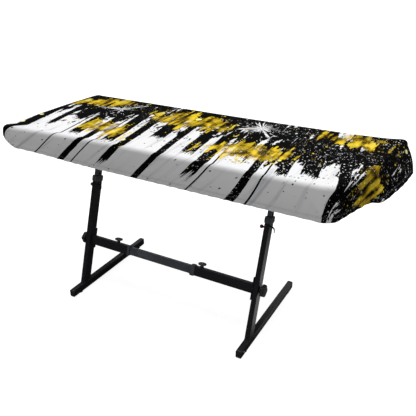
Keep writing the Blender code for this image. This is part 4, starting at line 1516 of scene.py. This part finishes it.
def lever_rings(root, reach):
    """Rings of a flat tapered lever that leaves its root sideways and curls forwards and down."""
    handles = [Vector((h[0] * reach.x, h[1] * reach.y, h[2] * reach.z)) for h in LEVER_HANDLES]
    rings = []
    for section in range(LEVER_SECTIONS + 1):
        t = section / LEVER_SECTIONS
        # How much each handle counts in the curve's place, and in its slope
        weights = ((1 - t) ** 3, 3 * t * (1 - t) ** 2, 3 * t * t * (1 - t), t**3)
        slopes = (-3 * (1 - t) ** 2, 3 * (1 - t) * (1 - 3 * t), 3 * t * (2 - 3 * t), 3 * t * t)
        place = root + sum((w * h for w, h in zip(weights, handles, strict=True)), Vector())
        travel = sum((s * h for s, h in zip(slopes, handles, strict=True)), Vector()).normalized()
        across = (Vector((0, 1, 0)) - travel * travel.y).normalized()
        up = travel.cross(across)
        # The last part of the lever closes to a round tip
        gone = max((t - LEVER_TIP_START) / LEVER_TIP_SPAN, 0.0)
        end = math.sqrt(max(1 - gone**2, 0.0))
        wide, thin = ((a + (b - a) * t) * end for a, b in (LEVER_HALF_WIDTHS, LEVER_HALF_THICKNESSES))
        turns = [2 * math.pi * step / LEVER_SIDES for step in range(LEVER_SIDES)]
        rings.append([place + across * wide * math.cos(a) + up * thin * math.sin(a) for a in turns])
    return rings


class DUSTCOVER_OT_pins(bpy.types.Operator):
    """Makes the pull pins with their balls, and the levers"""

    bl_idname = "dust_cover.pins"
    bl_label = "Pull pins and levers"

    def execute(self, context):
        for side in SIDES:
            node = f"pin_stem_{side}"
            placing = Matrix.Translation(seat_of(node, 0, -1)) @ toward_x(-1)
            levels = turned(PIN_STEM_LEVELS, PIN_STEM_SIDES)
            dress(node, f"pull_stem_{side}", "zinc_steel", levels, placing)
            node = f"pin_ball_{side}"
            low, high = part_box(node)
            placing = Matrix.Translation(seat_of(node, 0, -1)) @ toward_x(-1)
            levels = ball_levels((high.x - low.x) / 2)
            dress(node, f"pull_ball_{side}", "red_plastic", levels, placing, BALL_SHARP_EDGE)
            node = f"pin_lever_{side}"
            low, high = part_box(node)
            thick = LEVER_HALF_THICKNESSES[0]
            root = Vector((low.x, high.y - thick, high.z - thick))
            rings = lever_rings(root, Vector((high.x, low.y, low.z)) - root)
            material = finish("black_plastic")
            made = ringed(f"curled_lever_{side}", rings, material, LEVER_SHARP_EDGE)
            hand_over(made, "black_plastic", node)
        return {"FINISHED"}


class DUSTCOVER_OT_caps(bpy.types.Operator):
    """Makes the tubes' end caps and the feet's screws"""

    bl_idname = "dust_cover.caps"
    bl_label = "End caps and screws"

    def execute(self, context):
        for side, sign in SIDES.items():
            for end, facing in {"front": -1, "back": 1}.items():
                for tube in ("foot", "arm"):
                    self.cap(tube, side, end, facing)
            node = f"foot_screw_{side}"
            levels = turned(SCREW_LEVELS, SCREW_SIDES)
            for height in (SCREW_LEVELS[-1].height, SCREW_SOCKET.height):
                levels.append((height, hexagon(SCREW_SOCKET.radius, SCREW_SIDES)))
            placing = Matrix.Translation(seat_of(node, 0, sign)) @ toward_x(sign)
            dress(node, f"socket_screw_{side}", "zinc_steel", levels, placing)
        return {"FINISHED"}

    def cap(self, tube, side, end, facing):
        """A cap with a rounded rim and a sunk middle."""
        node = f"{tube}_cap_{side}_{end}"
        low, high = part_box(node)
        size = high - low
        levels = []
        for row in CAP_LEVELS:
            corner = max(CAP_CORNER - row.inset, CAP_LEAST_CORNER)
            ring = rounded_rectangle(size.x - 2 * row.inset, size.z - 2 * row.inset, corner)
            levels.append((row.share * size.y, ring))
        placing = Matrix.Translation(seat_of(node, 1, facing)) @ toward_y(facing)
        dress(node, f"{tube}_plug_{side}_{end}", "black_plastic", levels, placing)


class DUSTCOVER_OT_welds_and_holes(bpy.types.Operator):
    """Makes the welds at the stand's joints and the holes that the pull pins catch in"""

    bl_idname = "dust_cover.welds_and_holes"
    bl_label = "Welds and holes"

    def execute(self, context):
        stand = settings_of("dust_cover_stand")
        values = {
            "Pitch": stand.weld_pitch, "Length": stand.weld_pitch * WELD_BEAD_PITCHES,
            "Width": stand.weld_width, "Unevenness": 0.12, "Finish": finish("black_steel"),
        }
        paths = path_mesh("weld_paths", self.weld_paths())
        made = made_by_nodes("weld_beads", "Beads along a path", paths, values)
        hand_over(made, "black_steel")
        # The holes are discs of near-black painted shade, each with a steel rim
        values = {
            "Count": stand.hole_count, "Step": (0.0, LEAN * stand.hole_pitch, stand.hole_pitch),
            "Radius": stand.hole_radius, "Rim finish": finish("black_steel"),
            "Painted hole shade": finish("hole_shadow"),
        }
        starts = plain_mesh("hole_starts", self.hole_starts(stand))
        made = made_by_nodes("adjusting_holes", "Rows of holes", starts, values)
        hand_over(made, "black_steel")
        return {"FINISHED"}

    def weld_paths(self):
        """Round the foot of each column, the top of its inner tube and the root of each sleeve."""
        loops = []
        for side, sign in SIDES.items():
            low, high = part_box(f"column_tube_{side}")
            centre = Vector(((low.x + high.x) / 2, low.y + COLUMN_DEPTH / 2, low.z))
            ring = rounded_rectangle(high.x - low.x, COLUMN_DEPTH, WELD_CORNER, 3)
            loops.append([centre + Vector((x, y, 0)) for x, y in ring])
            low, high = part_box(f"column_inner_{side}")
            centre = Vector(((low.x + high.x) / 2, high.y - INNER_DEPTH / 2, high.z))
            ring = rounded_rectangle(high.x - low.x, INNER_DEPTH, WELD_CORNER, 3)
            loops.append([centre + Vector((x, y, 0)) for x, y in ring])
            centre = seat_of(f"bar_sleeve_{side}", 0, -sign)
            ring = rounded_rectangle(SLEEVE_DEPTH * SQUARE, SLEEVE_HEIGHT / SQUARE, WELD_CORNER, 3)
            loops.append([centre + leaning() @ Vector((0, y, z)) for y, z in ring])
        return loops

    def hole_starts(self, stand):
        """The lowest hole on both sides of each inner tube."""
        starts = []
        for side in SIDES:
            low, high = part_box(f"column_inner_{side}")
            z = low.z + LOWEST_HOLE * stand.hole_pitch
            y = high.y - INNER_DEPTH / 2 - LEAN * (high.z - z)
            starts += [(low.x, y, z), (high.x, y, z)]
        return starts


def seen(web, by_camera, in_gloss, all_round):
    """Light for the camera, for reflections and for the rest, as from paper on a light table."""
    path = web.add("ShaderNodeLightPath", out="Is Camera Ray")
    plain = web.number("MULTIPLY_ADD", path, by_camera, all_round)
    more = web.minus(in_gloss, plain)
    return web.number("MULTIPLY_ADD", path.node.outputs["Is Glossy Ray"], more, plain)


class DUSTCOVER_OT_stage(bpy.types.Operator):
    """Sets up the floor, the light and the camera"""

    bl_idname = "dust_cover.stage"
    bl_label = "Floor, light and camera"

    def execute(self, context):
        stage = settings_of("dust_cover_stage")
        self.floor(stage)
        self.overhead_light(stage)
        self.surroundings(stage)
        self.camera(stage)
        return {"FINISHED"}

    def floor(self, stage):
        """A matt pale floor that glows for the camera, and by the stand also in reflections."""
        signs = ((-1, -1), (1, -1), (1, 1), (-1, 1))
        corners = [(x * FLOOR_REACH, y * FLOOR_REACH, 0) for x, y in signs]
        made = link_object("floor", plain_mesh("floor", corners, (), [(0, 1, 2, 3)]))
        material, web, shader = new_material("studio_floor")
        place = web.add("ShaderNodeTexCoord", out="Object")
        darker = (*(channel * FLOOR_MOTTLE for channel in stage.floor), 1)
        colour = web.mix(web.noise(place, 1.5, detail=2.0), (*stage.floor, 1), darker)
        in_gloss = web.add("ShaderNodeLightPath", out="Is Glossy Ray")
        colour = web.mix(in_gloss, colour, (0.0, 0.0, 0.0, 1.0))
        lit = web.step(web.vector("LENGTH", place, out="Value"), *LIT_OUT_TO)
        lit = web.times(lit, web.step(web.part(place, "X"), *LIT_FROM_X))
        lit = web.times(lit, web.step(web.part(place, "Y"), *LIT_FROM_Y))
        shine = web.number("MULTIPLY_ADD", lit, stage.floor_gloss, stage.dim)
        set_shader(web, shader, {
            "Base Color": colour, "Roughness": 0.9, "Emission Color": (1.0, 1.0, 1.0, 1.0),
            "Emission Strength": seen(web, stage.glow, shine, 0.0),
        })
        made.data.materials.append(material)

    def overhead_light(self, stage):
        """A broad soft light from nearly straight above."""
        sun = bpy.data.lights.new("overhead", "SUN")
        sun.energy = stage.sun
        sun.angle = SUN_SPREAD
        link_object("overhead", sun).rotation_euler = SUN_TILT

    def surroundings(self, stage):
        """White for the camera. Reflections see a backdrop low at the back, a lamp and the dark."""
        world = bpy.data.worlds.new("studio")
        world.use_nodes = True
        web = Web(world.node_tree)
        heading = web.add("ShaderNodeTexCoord", out="Generated")
        backdrop = web.times(
            web.step(web.part(heading, "Y"), *BACKDROP_FROM_Y),
            web.step(web.part(heading, "Z"), *BACKDROP_BELOW_Z),
        )
        ahead = web.vector("DOT_PRODUCT", heading, LAMP_AHEAD, out="Value")
        shine = web.number("MULTIPLY_ADD", backdrop, stage.back_gloss, stage.dim)
        shine = web.number("MULTIPLY_ADD", web.step(ahead, *LAMP_RIM), stage.lamp_gloss, shine)
        set_shader(web, world.node_tree.nodes["Background"], {
            "Color": (1.0, 1.0, 1.0, 1.0), "Strength": seen(web, 1.0, shine, stage.surround),
        })
        bpy.context.scene.world = world
        bpy.context.scene.view_settings.view_transform = "Standard"

    def camera(self, stage):
        """The photo's camera, as solved from the object's edges in it."""
        data = bpy.data.cameras.new("camera")
        data.lens = stage.lens
        data.sensor_width = 36.0
        made = link_object("camera", data)
        made.location = Vector(stage.camera_place) + PLAN_ZERO
        made.rotation_euler = (math.pi / 2 - stage.pitch, 0.0, stage.yaw)
        bpy.context.scene.camera = made


OPERATORS = (
    DUSTCOVER_OT_stage, DUSTCOVER_OT_cloth, DUSTCOVER_OT_steelwork, DUSTCOVER_OT_collars,
    DUSTCOVER_OT_knobs, DUSTCOVER_OT_pins, DUSTCOVER_OT_caps, DUSTCOVER_OT_welds_and_holes,
)
SETTINGS = {
    "dust_cover_cloth": CoverSettings,
    "dust_cover_stitches": StitchSettings,
    "dust_cover_stand": StandSettings,
    "dust_cover_stage": StageSettings,
}


class DUSTCOVER_PT_panel(bpy.types.Panel):
    """Lists the pieces and their sizes"""

    bl_idname = "DUSTCOVER_PT_panel"
    bl_label = "Dust cover"
    bl_space_type = "VIEW_3D"
    bl_region_type = "UI"
    bl_category = "Dust Cover"

    def draw(self, context):
        for operator in OPERATORS:
            self.layout.operator(operator.bl_idname)
        for name, group in SETTINGS.items():
            column = self.layout.column(heading=group.__doc__)
            for size in group.__annotations__:
                column.prop(getattr(context.scene, name), size)


def register():
    for group in SETTINGS.values():
        bpy.utils.register_class(group)
    for name, group in SETTINGS.items():
        setattr(bpy.types.Scene, name, bpy.props.PointerProperty(type=group))
    for operator in OPERATORS:
        bpy.utils.register_class(operator)
    bpy.utils.register_class(DUSTCOVER_PT_panel)


def unregister():
    bpy.utils.unregister_class(DUSTCOVER_PT_panel)
    for operator in reversed(OPERATORS):
        bpy.utils.unregister_class(operator)
    for name in SETTINGS:
        delattr(bpy.types.Scene, name)
    for group in reversed(SETTINGS.values()):
        bpy.utils.unregister_class(group)


def main():
    """Makes every piece in order, and writes the boxes of the frame and of the finished model."""
    register()
    for operator in OPERATORS:
        family, name = operator.bl_idname.split(".")
        getattr(getattr(bpy.ops, family), name)()


if __name__ == "__main__":
    main()
